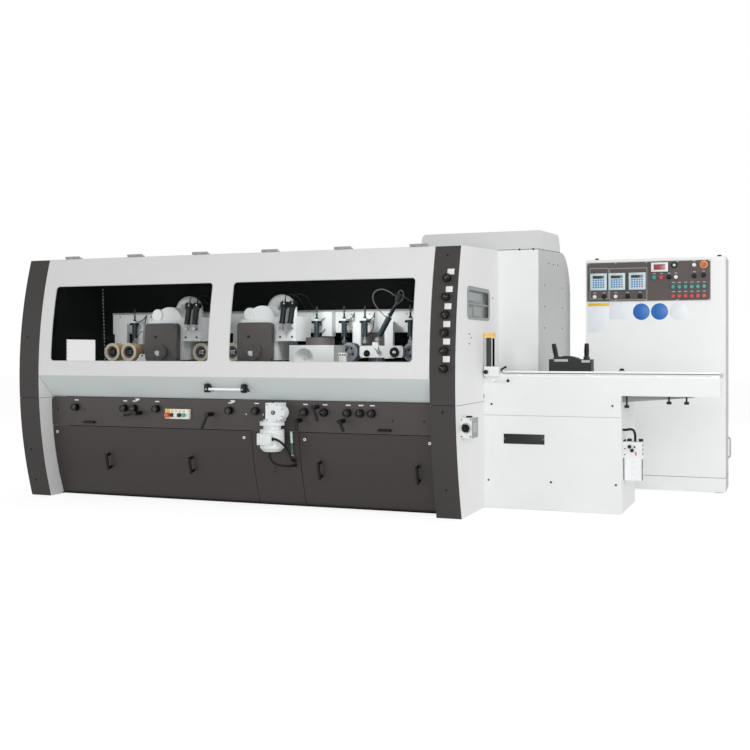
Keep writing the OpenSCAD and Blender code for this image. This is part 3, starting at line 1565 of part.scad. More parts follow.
module hood_return() {
  bow_band(0, return_d, crease_z, case_h - overrun);
  polygon([[arc_y(crease_z), crease_z], [lip_y, lip_z], [lip_y, crease_z]]);
}

module hood_shell() color(light_grey) in_frame() {
  difference() {
    union() {
      along_x(hood_x0, hood_x1 - hood_x0) hood_outline();
      along_x(hood_x0, sheet) hood_return();
      along_x(hood_x1 - sheet, sheet) hood_return();
      for (s = hinge_shares) {
        knuckle(s * case_l);
      }
    }
    for (w = window_shares) {
      along_y(-overrun, column_d) round_rect(w[0] * case_l, window_z, w[1] * case_l, window_top_z,
        window_r);
    }
    for (s = hinge_shares) {
      bar_x(s * case_l - hinge_w / 2, hinge_y, hinge_z, hinge_pin_d / 2 + run_gap, hinge_w, knob_fn);
    }
  }
}

module knuckle(x) {
  w = knuckle_w - 2 * knuckle_gap;
  bar_x(x - w / 2, hinge_y, hinge_z, hinge_r, w, knob_fn);
  box([x - w / 2, roof_y - hood_flange_gap - hinge_r, case_h - sheet],
    [x + w / 2, hinge_y - hinge_pin_d / 2, hinge_z]);
}

module hood_windows() color(smoke) in_frame() {
  for (w = window_shares) {
    along_x(w[0] * case_l - pane_lap, (w[1] - w[0]) * case_l + 2 * pane_lap)
      bow_band(sheet + seat_gap, pane_t, window_z - pane_lap, window_top_z + pane_lap);
  }
}

module hood_handle() color(near_black) in_frame() {
  x = handle_x_share * case_l;
  bar_y0 = lip_at(handle_z) - handle_out;
  for (s = [-1, 1]) {
    along_x(x + s * handle_l / 2 - handle_bracket_w / 2, handle_bracket_w)
      translate([-seat_gap, 0]) polygon([[lip_at(handle_z + handle_pad), handle_z + handle_pad],
        [lip_at(handle_z - handle_pad / 2), handle_z - handle_pad / 2],
        [bar_y0 - handle_nose, handle_z - handle_nose], [bar_y0 - handle_nose, handle_z + handle_nose]]);
  }
  color(steel) bar_x(x - handle_l / 2 + handle_bracket_w / 2 + seat_gap, bar_y0, handle_z, handle_bar_r,
    handle_l - handle_bracket_w - 2 * seat_gap);
}

// Lift-off doors: bowed sheet with edge returns, two pulls and two quarter-turn locks
door_seat = 0.3;
door_return = 18;
pull_z = 276;
pull_r = 10;
pull_out = 42;
pull_foot_r = 11;
pull_sag_gap = 0.5;
lock_z = 478;
lock_r = 10;
lock_h = 6;
lock_slot_w = 3;
left_pull_shares = [0.1936, 0.4007];
left_lock_shares = [0.0625, 0.5293];
right_pull_shares = [0.6987, 0.9080];
right_lock_shares = [0.6673, 0.9335];

// Pieces set square on the bowed door at height z
module on_door(x, z) {
  translate([x, door_y(z), z]) rotate([door_tilt(z), 0, 0]) children();
}

module door_pull() {
  sag = pow(pull_h / 2 - pull_r, 2) / (2 * door_r);
  translate([0, -pull_out, -pull_h / 2]) cylinder(r = pull_r, h = pull_h, $fn = knob_fn);
  for (z = [-pull_h / 2 + pull_r, pull_h / 2 - pull_r]) {
    bar_y(0, -pull_out, z, pull_r, pull_out + sag - pull_sag_gap, knob_fn);
  }
}

module door_lock() {
  difference() {
    bar_y(0, -lock_h, 0, lock_r, lock_h - seat_gap, knob_fn);
    box([-lock_slot_w / 2, -lock_h - overrun, -lock_r / 2], [lock_slot_w / 2, -lock_h / 2, lock_r / 2]);
  }
}

module door(x0, x1, pulls, locks) {
  z0 = door_z + door_seat;
  z1 = rail_z - panel_gap;
  along_x(x0, x1 - x0) door_band(0, sheet, z0, z1);
  for (x = [x0, x1 - sheet]) {
    along_x(x, sheet) door_band(0, door_return, z0, z1);
  }
  for (s = pulls) {
    on_door(s * case_l, pull_z) door_pull();
  }
  for (s = locks) {
    on_door(s * case_l, lock_z) door_lock();
  }
}

module left_door() color(dark_grey) in_frame()
  door(column_w + panel_gap, centre_x0 - panel_gap, left_pull_shares, left_lock_shares);

module right_door() color(dark_grey) in_frame()
  door(centre_x1 + panel_gap, case_l - column_w - panel_gap, right_pull_shares, right_lock_shares);

// An adjusting knob whose back face is at the origin, pointing towards -Y, with the panel
// face at depth d behind it
module knob(d) {
  r = knob_d / 2;
  rotate([90, 0, 0]) difference() {
    rotate_extrude($fn = knob_fn) polygon([[0, 0], [r, 0], [r, knob_skirt_h],
      [r - knob_grip_inset, knob_skirt_h],
      [r - knob_grip_inset, knob_l - knob_chamfer], [r - knob_grip_inset - knob_chamfer, knob_l],
      [r - knob_face_inset, knob_l], [r - knob_face_inset, knob_l - knob_face_depth],
        [0, knob_l - knob_face_depth]]);
    for (i = [0:knob_flutes - 1]) {
      rotate([0, 0, i * 360 / knob_flutes]) translate([r, 0, knob_skirt_h])
        cylinder(r = knob_flute_r, h = knob_l, $fn = 24);
    }
  }
  bar_y(0, -knob_skirt_h / 2, 0, knob_shaft_r, knob_skirt_h / 2 + d + sheet + knob_shaft_back, knob_fn);
  bar_y(0, d + sheet + knob_collar_gap, 0, knob_collar_r, knob_collar_w, knob_fn);
}

module rail_knob(i) color(near_black) in_frame()
  translate([rail_knob_x(i), door_y(knob_z) - knob_stand, knob_z]) knob(knob_stand + knob_collar_gap);

module column_knob(i) color(near_black) in_frame()
  translate([case_l - column_knob_in, column_knob_y(i), column_knob_z(i)])
    knob(arc_y(column_knob_z(i) + knob_collar_r) - column_knob_y(i) + knob_collar_gap);

// A clamp lever on the rail: stud, long hub and leaning grip
module clamp_lever(i) color(near_black) in_frame() {
  y0 = door_y(lever_z(i));
  hub_y = y0 - lever_stand - lever_hub_l;
  translate([lever_x(i), 0, lever_z(i)]) {
    bar_y(0, hub_y, 0, lever_hub_r, lever_hub_l, knob_fn);
    bar_y(0, hub_y, 0, lever_stud_r, lever_hub_l + lever_stand + sheet + lever_stud_back, knob_fn);
    bar_y(0, y0 + sheet + lever_nut_w / 2, 0, lever_nut_r, lever_nut_w, 6);
    translate([0, hub_y + lever_hub_r, 0]) rotate([0, 90 - lever_angles[i], 0]) rotate([lever_lean, 0, 0]) {
      cylinder(r1 = lever_arm_r, r2 = lever_arm_end_r, h = lever_length_shares[i] * lever_l, $fn = knob_fn);
      translate([0, 0, lever_length_shares[i] * lever_l]) sphere(r = lever_arm_end_r, $fn = knob_fn);
    }
  }
}

base_frame();
machine_bed();
end_cabinets();
front_panels();
roof_panel();
rear_housing();
cabin_liner();
infeed_base();
infeed_table();
infeed_guides();
control_cabinet();
control_stations();
feed_beam();
air_cylinders();
spindle_units();
lift_gearmotor();
power_leads();
lubricator();
hood_shell();
hood_windows();
hood_handle();
left_door();
right_door();
for (i = [0:len(rail_knob_shares) - 1]) {
  rail_knob(i);
}
for (i = [0:len(column_knob_shares) - 1]) {
  column_knob(i);
}
for (i = [0:len(lever_x_shares) - 1]) {
  clamp_lever(i);
}
bottom_spindle();
right_spindle();
left_spindle();
top_spindle(0);  // first_top_spindle
top_spindle(1);  // second_top_spindle
feed_roller(0);  // outfeed_roller_1
feed_roller(1);  // outfeed_roller_2
feed_roller(2);  // middle_roller_1
feed_roller(3);  // middle_roller_2
feed_roller(4);  // infeed_roller_1
feed_roller(5);  // infeed_roller_2
panel_buttons();
emergency_stop();
station_buttons();
isolator_handle();
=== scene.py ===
"""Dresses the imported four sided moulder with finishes, small fittings, studio and camera.

Sizes are in millimetres in the machine's own axes: X runs along the bed from the outfeed end,
Y runs back from the front-most line of the bow, and Z is up from the floor.
"""

from __future__ import annotations

import json
import logging
import math
from collections.abc import Callable, Sequence
from dataclasses import dataclass
from enum import Enum

import bmesh
import bpy
from mathutils import Matrix, Vector

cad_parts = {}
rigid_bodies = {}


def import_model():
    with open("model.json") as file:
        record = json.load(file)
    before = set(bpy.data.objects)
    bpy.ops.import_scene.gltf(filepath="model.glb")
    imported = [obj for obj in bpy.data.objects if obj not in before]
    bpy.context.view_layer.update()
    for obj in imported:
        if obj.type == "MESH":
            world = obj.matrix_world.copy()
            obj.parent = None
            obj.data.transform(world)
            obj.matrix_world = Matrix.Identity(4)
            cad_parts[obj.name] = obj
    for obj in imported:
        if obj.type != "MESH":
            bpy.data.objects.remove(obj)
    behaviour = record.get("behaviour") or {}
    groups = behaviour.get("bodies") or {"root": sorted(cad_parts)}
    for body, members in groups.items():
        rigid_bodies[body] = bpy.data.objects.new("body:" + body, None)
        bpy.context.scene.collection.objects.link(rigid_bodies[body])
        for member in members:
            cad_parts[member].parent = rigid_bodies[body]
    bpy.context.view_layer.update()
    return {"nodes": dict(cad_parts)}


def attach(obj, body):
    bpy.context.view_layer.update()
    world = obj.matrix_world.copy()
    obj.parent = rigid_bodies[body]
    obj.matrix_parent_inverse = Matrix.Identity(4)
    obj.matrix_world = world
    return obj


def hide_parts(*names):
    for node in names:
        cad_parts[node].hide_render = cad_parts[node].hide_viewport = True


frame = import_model()
LOG = logging.getLogger("moulder")

MM = 0.001
MIDDLE = Vector((2442.5, 1215.1625, 0.0))  # the frame's origin in machine axes
CASE_L = 3342.0
CASE_H = 1750.0
BAY = (168.0, 3174.0)  # X of the columns' inner sides
BOW_RADIUS = 2830.0  # of the hood and columns
BOW_LEVEL = 895.0  # Z of the bow's front-most line
RAIL_RADIUS = 1850.0  # of the control rail and doors
RAIL_MIDDLE = 2007.0  # Y of that curve's centre
RAIL_LEVEL = 723.0  # Z of that curve's centre
LEAN = math.radians(29.0)  # of the slanted air cylinder
CORNER_STEPS = 6  # pieces of a round corner
RING_SIDES = 36
TUBE_STEPS = 6  # pieces of a tube between two points
SEAM_EDGE = 0.1
SHARP = math.radians(34.0)  # edges above this angle stay sharp
ANY = (-9999.0, 9999.0)
FRONT = Vector((0.0, -1.0, 0.0))
RIGHT = Vector((1.0, 0.0, 0.0))
UP = Vector((0.0, 0.0, 1.0))

MIX_SHARE, MIX_LOW, MIX_HIGH, MIX_COLOUR = 0, 6, 7, 2  # sockets of the Mix node for colours
BROAD_SCALE = 5.0  # of the colour's wandering, per metre
SHEEN_SWING = 0.06  # of the roughness about its middle
RELIEF_DEPTH = 0.0004
COAT_ROUGHNESS = 0.12

Point = Sequence[float]
Route = tuple[Point, ...]
Loop = list[bmesh.types.BMVert]
Place = Callable[[float, float, float], Vector]
Test = Callable[[Vector, Vector], bool]


def bow_y(z: float) -> float:
    """Gives the Y of the outer face of the bowed hood and columns at a height."""
    return BOW_RADIUS - math.sqrt(BOW_RADIUS**2 - (z - BOW_LEVEL) ** 2)


def rail_y(z: float) -> float:
    """Gives the Y of the outer face of the bowed rail and doors at a height."""
    return RAIL_MIDDLE - math.sqrt(RAIL_RADIUS**2 - (z - RAIL_LEVEL) ** 2)


def bow_turn(z: float) -> Matrix:
    """Gives the turn about X that sets a piece square to the bow at a height."""
    return Matrix.Rotation(math.asin((BOW_LEVEL - z) / BOW_RADIUS), 4, "X")


def rail_turn(z: float) -> Matrix:
    """Gives the turn about X that sets a piece square to the rail and doors at a height."""
    return Matrix.Rotation(math.asin((RAIL_LEVEL - z) / RAIL_RADIUS), 4, "X")


def leaning(angle: float) -> Vector:
    """Gives the way of an axis that leans to the right by an angle."""
    return Vector((math.sin(angle), 0.0, math.cos(angle)))


def stand(origin: Point, axis: Point) -> Matrix:
    """Gives the place of a turned solid from the foot and the way of its axis."""
    turn = UP.rotation_difference(Vector(axis)).to_matrix().to_4x4()
    return Matrix.Translation(Vector(origin)) @ turn


def circle(sides: int) -> list[tuple[float, float]]:
    """Gives the cosine and sine of even steps round a circle."""
    angles = [2.0 * math.pi * i / sides for i in range(sides)]
    return [(math.cos(a), math.sin(a)) for a in angles]


def skin(part: bmesh.types.BMesh, loops: Sequence[Loop]) -> None:
    """Makes the faces between loops of as many points.

    Args:
        part: Mesh of the loops.
        loops: Loops in order.
    """
    for low, high in zip(loops, loops[1:]):
        for i in range(len(low)):
            j = (i + 1) % len(low)
            part.faces.new((low[i], low[j], high[j], high[i]))


def rounded(low: Point, high: Point, radius: float, rows: int = 14) -> list[tuple[float, float]]:
    """Draws a rectangle with round corners.

    Args:
        low: Lowest corner.
        high: Highest corner.
        radius: Corner radius.
        rows: Points along each upright side.

    Returns:
        The outline's points, counter-clockwise.
    """
    corners = (
        (high[0] - radius, low[1] + radius, -90.0),
        (high[0] - radius, high[1] - radius, 0.0),
        (low[0] + radius, high[1] - radius, 90.0),
        (low[0] + radius, low[1] + radius, 180.0),
    )
    line: list[tuple[float, float]] = []
    for index, (u, v, start) in enumerate(corners):
        for step in range(CORNER_STEPS + 1):
            angle = math.radians(start + 90.0 * step / CORNER_STEPS)
            line.append((u + radius * math.cos(angle), v + radius * math.sin(angle)))
        if index in (0, 2):
            goal = corners[index + 1][1]
            side = line[-1][0]
            line += [(side, v + (goal - v) * row / rows) for row in range(1, rows)]
    return line


def set_inputs(node: bpy.types.Node, values: dict[str, object]) -> None:
    """Sets the unlinked inputs of a shader node by their names."""
    for socket, value in values.items():
        node.inputs[socket].default_value = value


def add_node(tree: bpy.types.NodeTree, kind: str, **values: object) -> bpy.types.Node:
    """Adds a shader node.

    Args:
        tree: Node tree it joins.
        kind: Blender's name of the node's kind.
        values: Values of its inputs by their names.

    Returns:
        The node.
    """
    node = tree.nodes.new(kind)
    set_inputs(node, values)
    return node


class Grain(Enum):
    """Names how the fine relief of a finish lies on its surface."""

    EVEN = (1.0, 1.0, 1.0)
    ALONG_X = (0.03, 1.0, 1.0)
    ALONG_Z = (1.0, 1.0, 0.03)


@dataclass(frozen=True)
class Finish:
    """Describes one procedural surface finish.

    Attributes:
        name: Name of the finish.
        colour: Colour as it should look, 0 to 255.
        roughness: Middle roughness.
        metallic: Share of metal.
        grain: Scale of the fine relief, per metre.
        relief: Strength of the fine relief.
        mottle: Share by which the colour wanders.
        coat: Weight of the clear coat.
        alpha: Opacity.
        specular: Level of the mirror share.
        lay: How the fine relief lies.
    """

    name: str
    colour: tuple[int, int, int]
    roughness: float = 0.42
    metallic: float = 0.0
    grain: float = 900.0
    relief: float = 0.10
    mottle: float = 0.03
    coat: float = 0.0
    alpha: float = 1.0
    specular: float = 0.5
    lay: Grain = Grain.EVEN

    def linear(self, gain: float) -> tuple[float, float, float, float]:
        """Turns the colour into linear light.

        Args:
            gain: Factor on the result.

        Returns:
            The linear colour with full opacity.
        """
        parts = [value / 255.0 for value in self.colour]
        light = [p / 12.92 if p <= 0.04045 else ((p + 0.055) / 1.055) ** 2.4 for p in parts]
        return (*(min(1.0, gain * value) for value in light), 1.0)

    def material(self) -> bpy.types.Material:
        """Makes the node material on first use.

        Returns:
            The material of this finish.
        """
        title = f"finish_{self.name}"
        made = bpy.data.materials.get(title)
        if made is not None:
            return made
        made = bpy.data.materials.new(title)
        made.use_nodes = True
        tree = made.node_tree
        link = tree.links.new
        shader = tree.nodes["Principled BSDF"]
        spot = add_node(tree, "ShaderNodeTexCoord")
        lay = add_node(tree, "ShaderNodeMapping", Scale=self.lay.value)
        link(spot.outputs["Object"], lay.inputs["Vector"])
        fine = add_node(tree, "ShaderNodeTexNoise", Scale=self.grain, Detail=3.0)
        link(lay.outputs["Vector"], fine.inputs["Vector"])
        broad = add_node(tree, "ShaderNodeTexNoise", Scale=BROAD_SCALE, Detail=6.0)
        link(lay.outputs["Vector"], broad.inputs["Vector"])
        blend = add_node(tree, "ShaderNodeMix")
        blend.data_type = "RGBA"
        blend.inputs[MIX_LOW].default_value = self.linear(1.0 - self.mottle)
        blend.inputs[MIX_HIGH].default_value = self.linear(1.0 + self.mottle)
        link(broad.outputs["Fac"], blend.inputs[MIX_SHARE])
        link(blend.outputs[MIX_COLOUR], shader.inputs["Base Color"])
        sheen = add_node(tree, "ShaderNodeMapRange")
        limits = {
            "From Min": 0.3,
            "From Max": 0.7,
            "To Min": max(0.02, self.roughness - SHEEN_SWING),
            "To Max": min(1.0, self.roughness + SHEEN_SWING),
        }
        set_inputs(sheen, limits)
        link(broad.outputs["Fac"], sheen.inputs["Value"])
        link(sheen.outputs["Result"], shader.inputs["Roughness"])
        bump = add_node(tree, "ShaderNodeBump", Strength=self.relief, Distance=RELIEF_DEPTH)
        link(fine.outputs["Fac"], bump.inputs["Height"])
        link(bump.outputs["Normal"], shader.inputs["Normal"])
        plain = {
            "Metallic": self.metallic,
            "Specular IOR Level": self.specular,
            "Coat Weight": self.coat,
            "Coat Roughness": COAT_ROUGHNESS,
            "Alpha": self.alpha,
        }
        set_inputs(shader, plain)
        return made


LIGHT = Finish("light_paint", (228, 228, 228), roughness=0.46, specular=0.3)
WHITE = Finish("white_paint", (234, 236, 235), roughness=0.46, specular=0.3)
# Lit copy of the white, set lighter to make up for the shade the casing throws on the tower's front
# (painted light).
LIT_HOUSING = Finish("lit_housing_paint", (238, 239, 239), roughness=0.48, specular=0.3)
# Shaded copy of the white paint for right-facing sides (painted shade).
SHADED_SIDE = Finish("shaded_side_paint", (192, 193, 193), roughness=0.48, specular=0.3)
HINGE = Finish("hinge_paint", (160, 162, 162), roughness=0.45)
# Shaded copy of the white for the front and right side of the top cover (painted shade).
SHADED_COVER = Finish("shaded_cover_paint", (216, 217, 217), roughness=0.46, specular=0.3)
# Lighter white: the cabinet's front, lit beyond the other whites (painted light), and the steel
# front edge of the table plate as a painted highlight.
LIT_WHITE = Finish("lit_white_and_highlight", (247, 248, 248), roughness=0.46, specular=0.3)
# Near-white for the corner dots and the door locks, and painted as the reflection of the chrome on
# the table's rail and the hood handle's bar.
WHITE_AND_REFLECTION = Finish("white_and_painted_reflection", (250, 250, 250), roughness=0.3, metallic=0.15, lay=Grain.ALONG_X)
# Painted reflection: the dark band along the table's front rail.
REFLECTION_BAND = Finish("painted_reflection_band", (104, 106, 108), roughness=0.3, metallic=0.4, lay=Grain.ALONG_X)
DARK = Finish("dark_paint", (63, 58, 57), roughness=0.45, mottle=0.05, specular=0.3)
COLUMN = Finish("column_paint", (64, 60, 60), roughness=0.5, mottle=0.05, specular=0.25)
RAIL = Finish("rail_paint", (74, 69, 68), roughness=0.46, mottle=0.05, specular=0.3)
FENCE = Finish("fence_paint", (48, 50, 51), roughness=0.5, mottle=0.05, specular=0.25)
COVER = Finish("cover_paint", (88, 82, 82), roughness=0.45, mottle=0.05)
BLACK = Finish("black_paint", (9, 10, 10), roughness=0.75, mottle=0.08, specular=0.06)
CASTING = Finish(
    "casting_paint", (234, 238, 238), roughness=0.5, grain=260.0, relief=0.28, specular=0.3
)
IRON = Finish(
    "cast_iron", (84, 86, 88), roughness=0.6, metallic=0.3, grain=300.0, relief=0.3, mottle=0.1
)
GROUND = Finish(
    "ground_steel", (156, 159, 161), roughness=0.3, metallic=0.9, mottle=0.06, lay=Grain.ALONG_X
)
TOOL = Finish("tool_steel", (128, 132, 138), roughness=0.36, metallic=0.9, mottle=0.1, relief=0.2)
CHROME = Finish("chrome", (222, 224, 225), roughness=0.16, metallic=1.0, lay=Grain.ALONG_X)
ZINC = Finish("zinc", (170, 172, 174), roughness=0.38, metallic=0.85, mottle=0.1)
PLASTIC = Finish("black_plastic", (9, 9, 10), roughness=0.34, coat=0.04, mottle=0.06, specular=0.24)
PANEL = Finish("panel_paint", (94, 87, 86), roughness=0.5, mottle=0.04, specular=0.25)
TEAL = Finish(
    "teal_aluminium", (49, 65, 70), roughness=0.32, metallic=0.35, mottle=0.08, lay=Grain.ALONG_Z
)
RUBBER = Finish("lead_rubber", (12, 12, 12), roughness=0.55, grain=500.0, relief=0.2, specular=0.25)
TRIM = Finish("window_trim", (206, 209, 209), roughness=0.6, relief=0.2)
HOSE = Finish("air_hose", (96, 98, 96), roughness=0.45)
DUCT = Finish("duct_hose", (186, 190, 190), roughness=0.5, grain=260.0, relief=0.3)
ROLLER = Finish("roller_steel", (150, 156, 163), roughness=0.42, metallic=0.5, mottle=0.1)
SEAL = Finish("grey_seal", (146, 151, 151), roughness=0.6, relief=0.2)
GLASS = Finish("clouded_glass", (158, 163, 163), roughness=0.2, coat=0.2)
FROST = Finish("frosted_sheet", (196, 202, 202), roughness=0.35)
IVORY = Finish("white_plastic", (234, 235, 231), roughness=0.34)
TANK = Finish("tank_plastic", (246, 248, 249), roughness=0.25, alpha=0.96)
PANE = Finish("smoked_pane", (10, 16, 14), roughness=0.06, relief=0.02, alpha=0.13, specular=0.06)
TYRE = Finish("roller_rubber", (216, 202, 160), roughness=0.5, grain=420.0, relief=0.3, mottle=0.08)
TREAD = Finish("roller_tread", (196, 166, 112), roughness=0.5, grain=420.0, relief=0.3, mottle=0.1)
RIM = Finish("roller_rim", (232, 226, 204), roughness=0.5, grain=420.0, relief=0.2, mottle=0.06)
GUARD = Finish("guard_paint", (112, 98, 84), roughness=0.5, mottle=0.1)
HUB = Finish("hub_paint", (112, 96, 108), roughness=0.4)
GREEN = Finish("green_button", (28, 150, 140), roughness=0.25, coat=0.3)
RED = Finish("red_button", (204, 44, 38), roughness=0.28, coat=0.3)
YELLOW = Finish("yellow_plastic", (236, 190, 40), roughness=0.35)
STRAW = Finish("straw_plastic", (238, 200, 112), roughness=0.4)
AMBER = Finish("amber_lens", (236, 158, 38), roughness=0.2, coat=0.4)
CREAM = Finish("cream_plastic", (244, 243, 230), roughness=0.4)
INSERT = Finish("knob_insert", (66, 67, 69), roughness=0.4, metallic=0.3)
LIP = Finish("lip_paint", (222, 231, 230), roughness=0.46, specular=0.3)
TWIN = Finish(
    "dark_cylinder", (26, 34, 34), roughness=0.34, metallic=0.3, mottle=0.08, lay=Grain.ALONG_Z
)
SEAM = Finish("seam_shadow", (46, 46, 48), roughness=0.8)
FAINT = Finish("faint_seam", (166, 168, 168), roughness=0.7)
KEYPAD = Finish("keypad_film", (200, 222, 228), roughness=0.35)
KEY = Finish("blue_key", (76, 128, 182), roughness=0.35)
SCREEN = Finish("dark_screen", (14, 17, 20), roughness=0.12, coat=0.5)
METER = Finish("meter_screen", (150, 48, 58), roughness=0.2, coat=0.4)
OIL = Finish("sight_oil", (54, 96, 80), roughness=0.15, coat=0.5)
MINT = Finish("sight_tube", (206, 230, 220), roughness=0.15, coat=0.5)
SHEET = Finish("plain_sheet", (238, 243, 247), roughness=0.4)
LINE = Finish("panel_line", (190, 192, 192), roughness=0.5)
SLATE = Finish("nameplate", (34, 36, 36), roughness=0.35, metallic=0.4)
SIGN = Finish("blue_plate", (30, 108, 190), roughness=0.35)
# Painted shade grey for the bracket under the infeed table and the isolator's right side; it also
# greys the ledge on the feed beam.
SHADE = Finish("painted_shade_grey", (148, 151, 150), roughness=0.5, mottle=0.06)


class Solid:
    """Builds one dressed piece from closed solids in machine millimetres."""

    def __init__(self, name: str) -> None:
        """Starts an empty piece.

        Args:
            name: Name of the piece.
        """
        self.name = name
        self._mesh = bmesh.new()
        self._finishes: list[Finish] = []
        self._index = 0

    def of(self, finish: Finish) -> Solid:
        """Sets the finish of the solids that follow.

        Args:
            finish: The finish to use.

        Returns:
            This piece.
        """
        if finish not in self._finishes:
            self._finishes.append(finish)
        self._index = self._finishes.index(finish)
        return self

    def _join(self, part: bmesh.types.BMesh, turn: Matrix) -> Solid:
        """Adds a finished solid to the piece.

        Args:
            part: The solid, which is used up.
            turn: Its place.

        Returns:
            This piece.
        """
        part.transform(turn)
        bmesh.ops.recalc_face_normals(part, faces=part.faces[:])
        for face in part.faces:
            face.material_index = self._index
            face.smooth = True
        carrier = bpy.data.meshes.new("carrier")
        part.to_mesh(carrier)
        part.free()
        self._mesh.from_mesh(carrier)
        bpy.data.meshes.remove(carrier)
        return self

    def block(
        self, centre: Point, size: Point, bevel: float = 1.0, turn: Matrix | None = None
    ) -> Solid:
        """Adds a block with eased edges.

        Args:
            centre: Middle of the block.
            size: Its three lengths.
            bevel: Width of the eased edges.
            turn: Turn about its middle.

        Returns:
            This piece.
        """
        part = bmesh.new()
        bmesh.ops.create_cube(part, size=1.0, matrix=Matrix.Diagonal((*size, 1.0)))
        width = min(bevel, 0.4 * min(size))
        bmesh.ops.bevel(
            part, geom=part.edges[:], offset=width, segments=2, profile=0.6, affect="EDGES"
        )
        return self._join(part, Matrix.Translation(Vector(centre)) @ (turn or Matrix()))

    def seam(self, centre: Point, size: Point, turn: Matrix | None = None) -> Solid:
        """Adds a thin line that shows where two sheets meet."""
        return self.block(centre, size, SEAM_EDGE, turn)

    def lathe(self, origin: Point, axis: Point, profile: Sequence[Point], sides: int = 32) -> Solid:
        """Adds a turned solid.

        Args:
            origin: Foot of its axis.
            axis: Direction of its axis.
            profile: Radius and height pairs from its foot to its tip.
            sides: Faces round it.

        Returns:
            This piece.
        """
        part = bmesh.new()
        rings: list[Loop] = []
        for radius, height in profile:
            steps = circle(sides) if radius else [(1.0, 0.0)]
            rings.append([part.verts.new((radius * c, radius * s, height)) for c, s in steps])
        for low, high in zip(rings, rings[1:]):
            for i in range(sides):
                j = (i + 1) % sides
                edges = ((low, i), (low, j), (high, j), (high, i))
                corners = list(dict.fromkeys(loop[k % len(loop)] for loop, k in edges))
                if len(corners) > 2:
                    part.faces.new(corners)
        return self._join(part, stand(origin, axis))

    def ring(self, origin: Point, axis: Point, inner: float, outer: float, height: float) -> Solid:
        """Adds a collar round an axis.

        Args:
            origin: Foot of its axis.
            axis: Direction of its axis.
            inner: Inner radius.
            outer: Outer radius.
            height: Height of the collar.

        Returns:
            This piece.
        """
        ease = min(1.0, 0.3 * height)
        line = (
            (inner, 0.0),
            (outer, 0.0),
            (outer, height - ease),
            (outer - ease, height),
            (inner + ease, height),
            (inner, height - ease),
        )
        part = bmesh.new()
        steps = circle(RING_SIDES)
        loops = [[part.verts.new((r * c, r * s, z)) for c, s in steps] for r, z in line]
        skin(part, loops + loops[:1])
        return self._join(part, stand(origin, axis))

    def screw(self, origin: Point, axis: Point, radius: float = 6.0, height: float = 4.0) -> Solid:
        """Adds a socket screw head.

        Args:
            origin: Middle of its seat.
            axis: Way it points.
            radius: Radius of the head.
            height: Height of the head.

        Returns:
            This piece.
        """
        line = [
            (0.0, 0.0),
            (radius, 0.0),
            (radius, 0.65 * height),
            (0.8 * radius, height),
            (0.5 * radius, height),
            (0.45 * radius, 0.5 * height),
            (0.0, 0.5 * height),
        ]
        return self.lathe(origin, axis, line, 20)

    def knob(self, origin: Point, axis: Point, radius: float, height: float) -> Solid:
        """Adds a turned cap with an eased rim.

        Args:
            origin: Middle of its foot.
            axis: Way it points.
            radius: Radius of the cap.
            height: Height of the cap.

        Returns:
            This piece.
        """
        ease = min(0.25 * radius, 0.4 * height)
        line = [
            (0.0, 0.0),
            (radius, 0.0),
            (radius, height - ease),
            (radius - 0.3 * ease, height - 0.3 * ease),
            (radius - ease, height),
            (0.0, height),
        ]
        return self.lathe(origin, axis, line)

    def tube(self, points: Sequence[Point], radius: float, sides: int = 14) -> Solid:
        """Adds a smooth round tube through points.

        Args:
            points: Points of its middle line.
            radius: Radius of the tube.
            sides: Faces round it.

        Returns:
            This piece.
        """
        knots = [Vector(p) for p in points]
        line: list[Vector] = []
        for i in range(len(knots) - 1):
            before, start = knots[max(i - 1, 0)], knots[i]
            end, after = knots[i + 1], knots[min(i + 2, len(knots) - 1)]
            for step in range(TUBE_STEPS):
                t = step / TUBE_STEPS
                bend = (2.0 * before - 5.0 * start + 4.0 * end - after) * t**2
                twist = (3.0 * start - before - 3.0 * end + after) * t**3
                line.append(0.5 * (2.0 * start + (end - before) * t + bend + twist))
        line.append(knots[-1])
        part = bmesh.new()
        side = Vector((0.31, 0.42, 0.85))
        rings: list[Loop] = []
        for i, spot in enumerate(line):
            way = (line[min(i + 1, len(line) - 1)] - line[max(i - 1, 0)]).normalized()
            side = (side - way * side.dot(way)).normalized()
            other = way.cross(side)
            around = [spot + radius * (side * c + other * s) for c, s in circle(sides)]
            rings.append([part.verts.new(point) for point in around])
        skin(part, rings)
        part.faces.new(list(reversed(rings[0])))
        part.faces.new(rings[-1])
        return self._join(part, Matrix())

    def rim(
        self,
        outer: Sequence[Point],
        inner: Sequence[Point],
        low: float,
        high: float,
        place: Place,
    ) -> Solid:
        """Adds a closed band between two outlines.

        Args:
            outer: Outer outline.
            inner: Inner outline with as many points.
            low: Depth of one face.
            high: Depth of the other face.
            place: Gives the point for an outline point and a depth.

        Returns:
            This piece.
        """
        part = bmesh.new()
        lines = ((outer, low), (outer, high), (inner, high), (inner, low))
        loops = [[part.verts.new(place(u, v, depth)) for u, v in line] for line, depth in lines]
        skin(part, loops + loops[:1])
        return self._join(part, Matrix())

    def slab(self, outline: Sequence[Point], low: float, high: float, place: Place) -> Solid:
        """Adds a closed plate of any outline.

        Args:
            outline: Points round the plate.
            low: Depth of one face.
            high: Depth of the other face.
            place: Gives the point for an outline point and a depth.

        Returns:
            This piece.
        """
        part = bmesh.new()
        depths = (low, high)
        loops = [[part.verts.new(place(u, v, depth)) for u, v in outline] for depth in depths]
        skin(part, loops)
        part.faces.new(list(reversed(loops[0])))
        part.faces.new(loops[1])
        return self._join(part, Matrix())

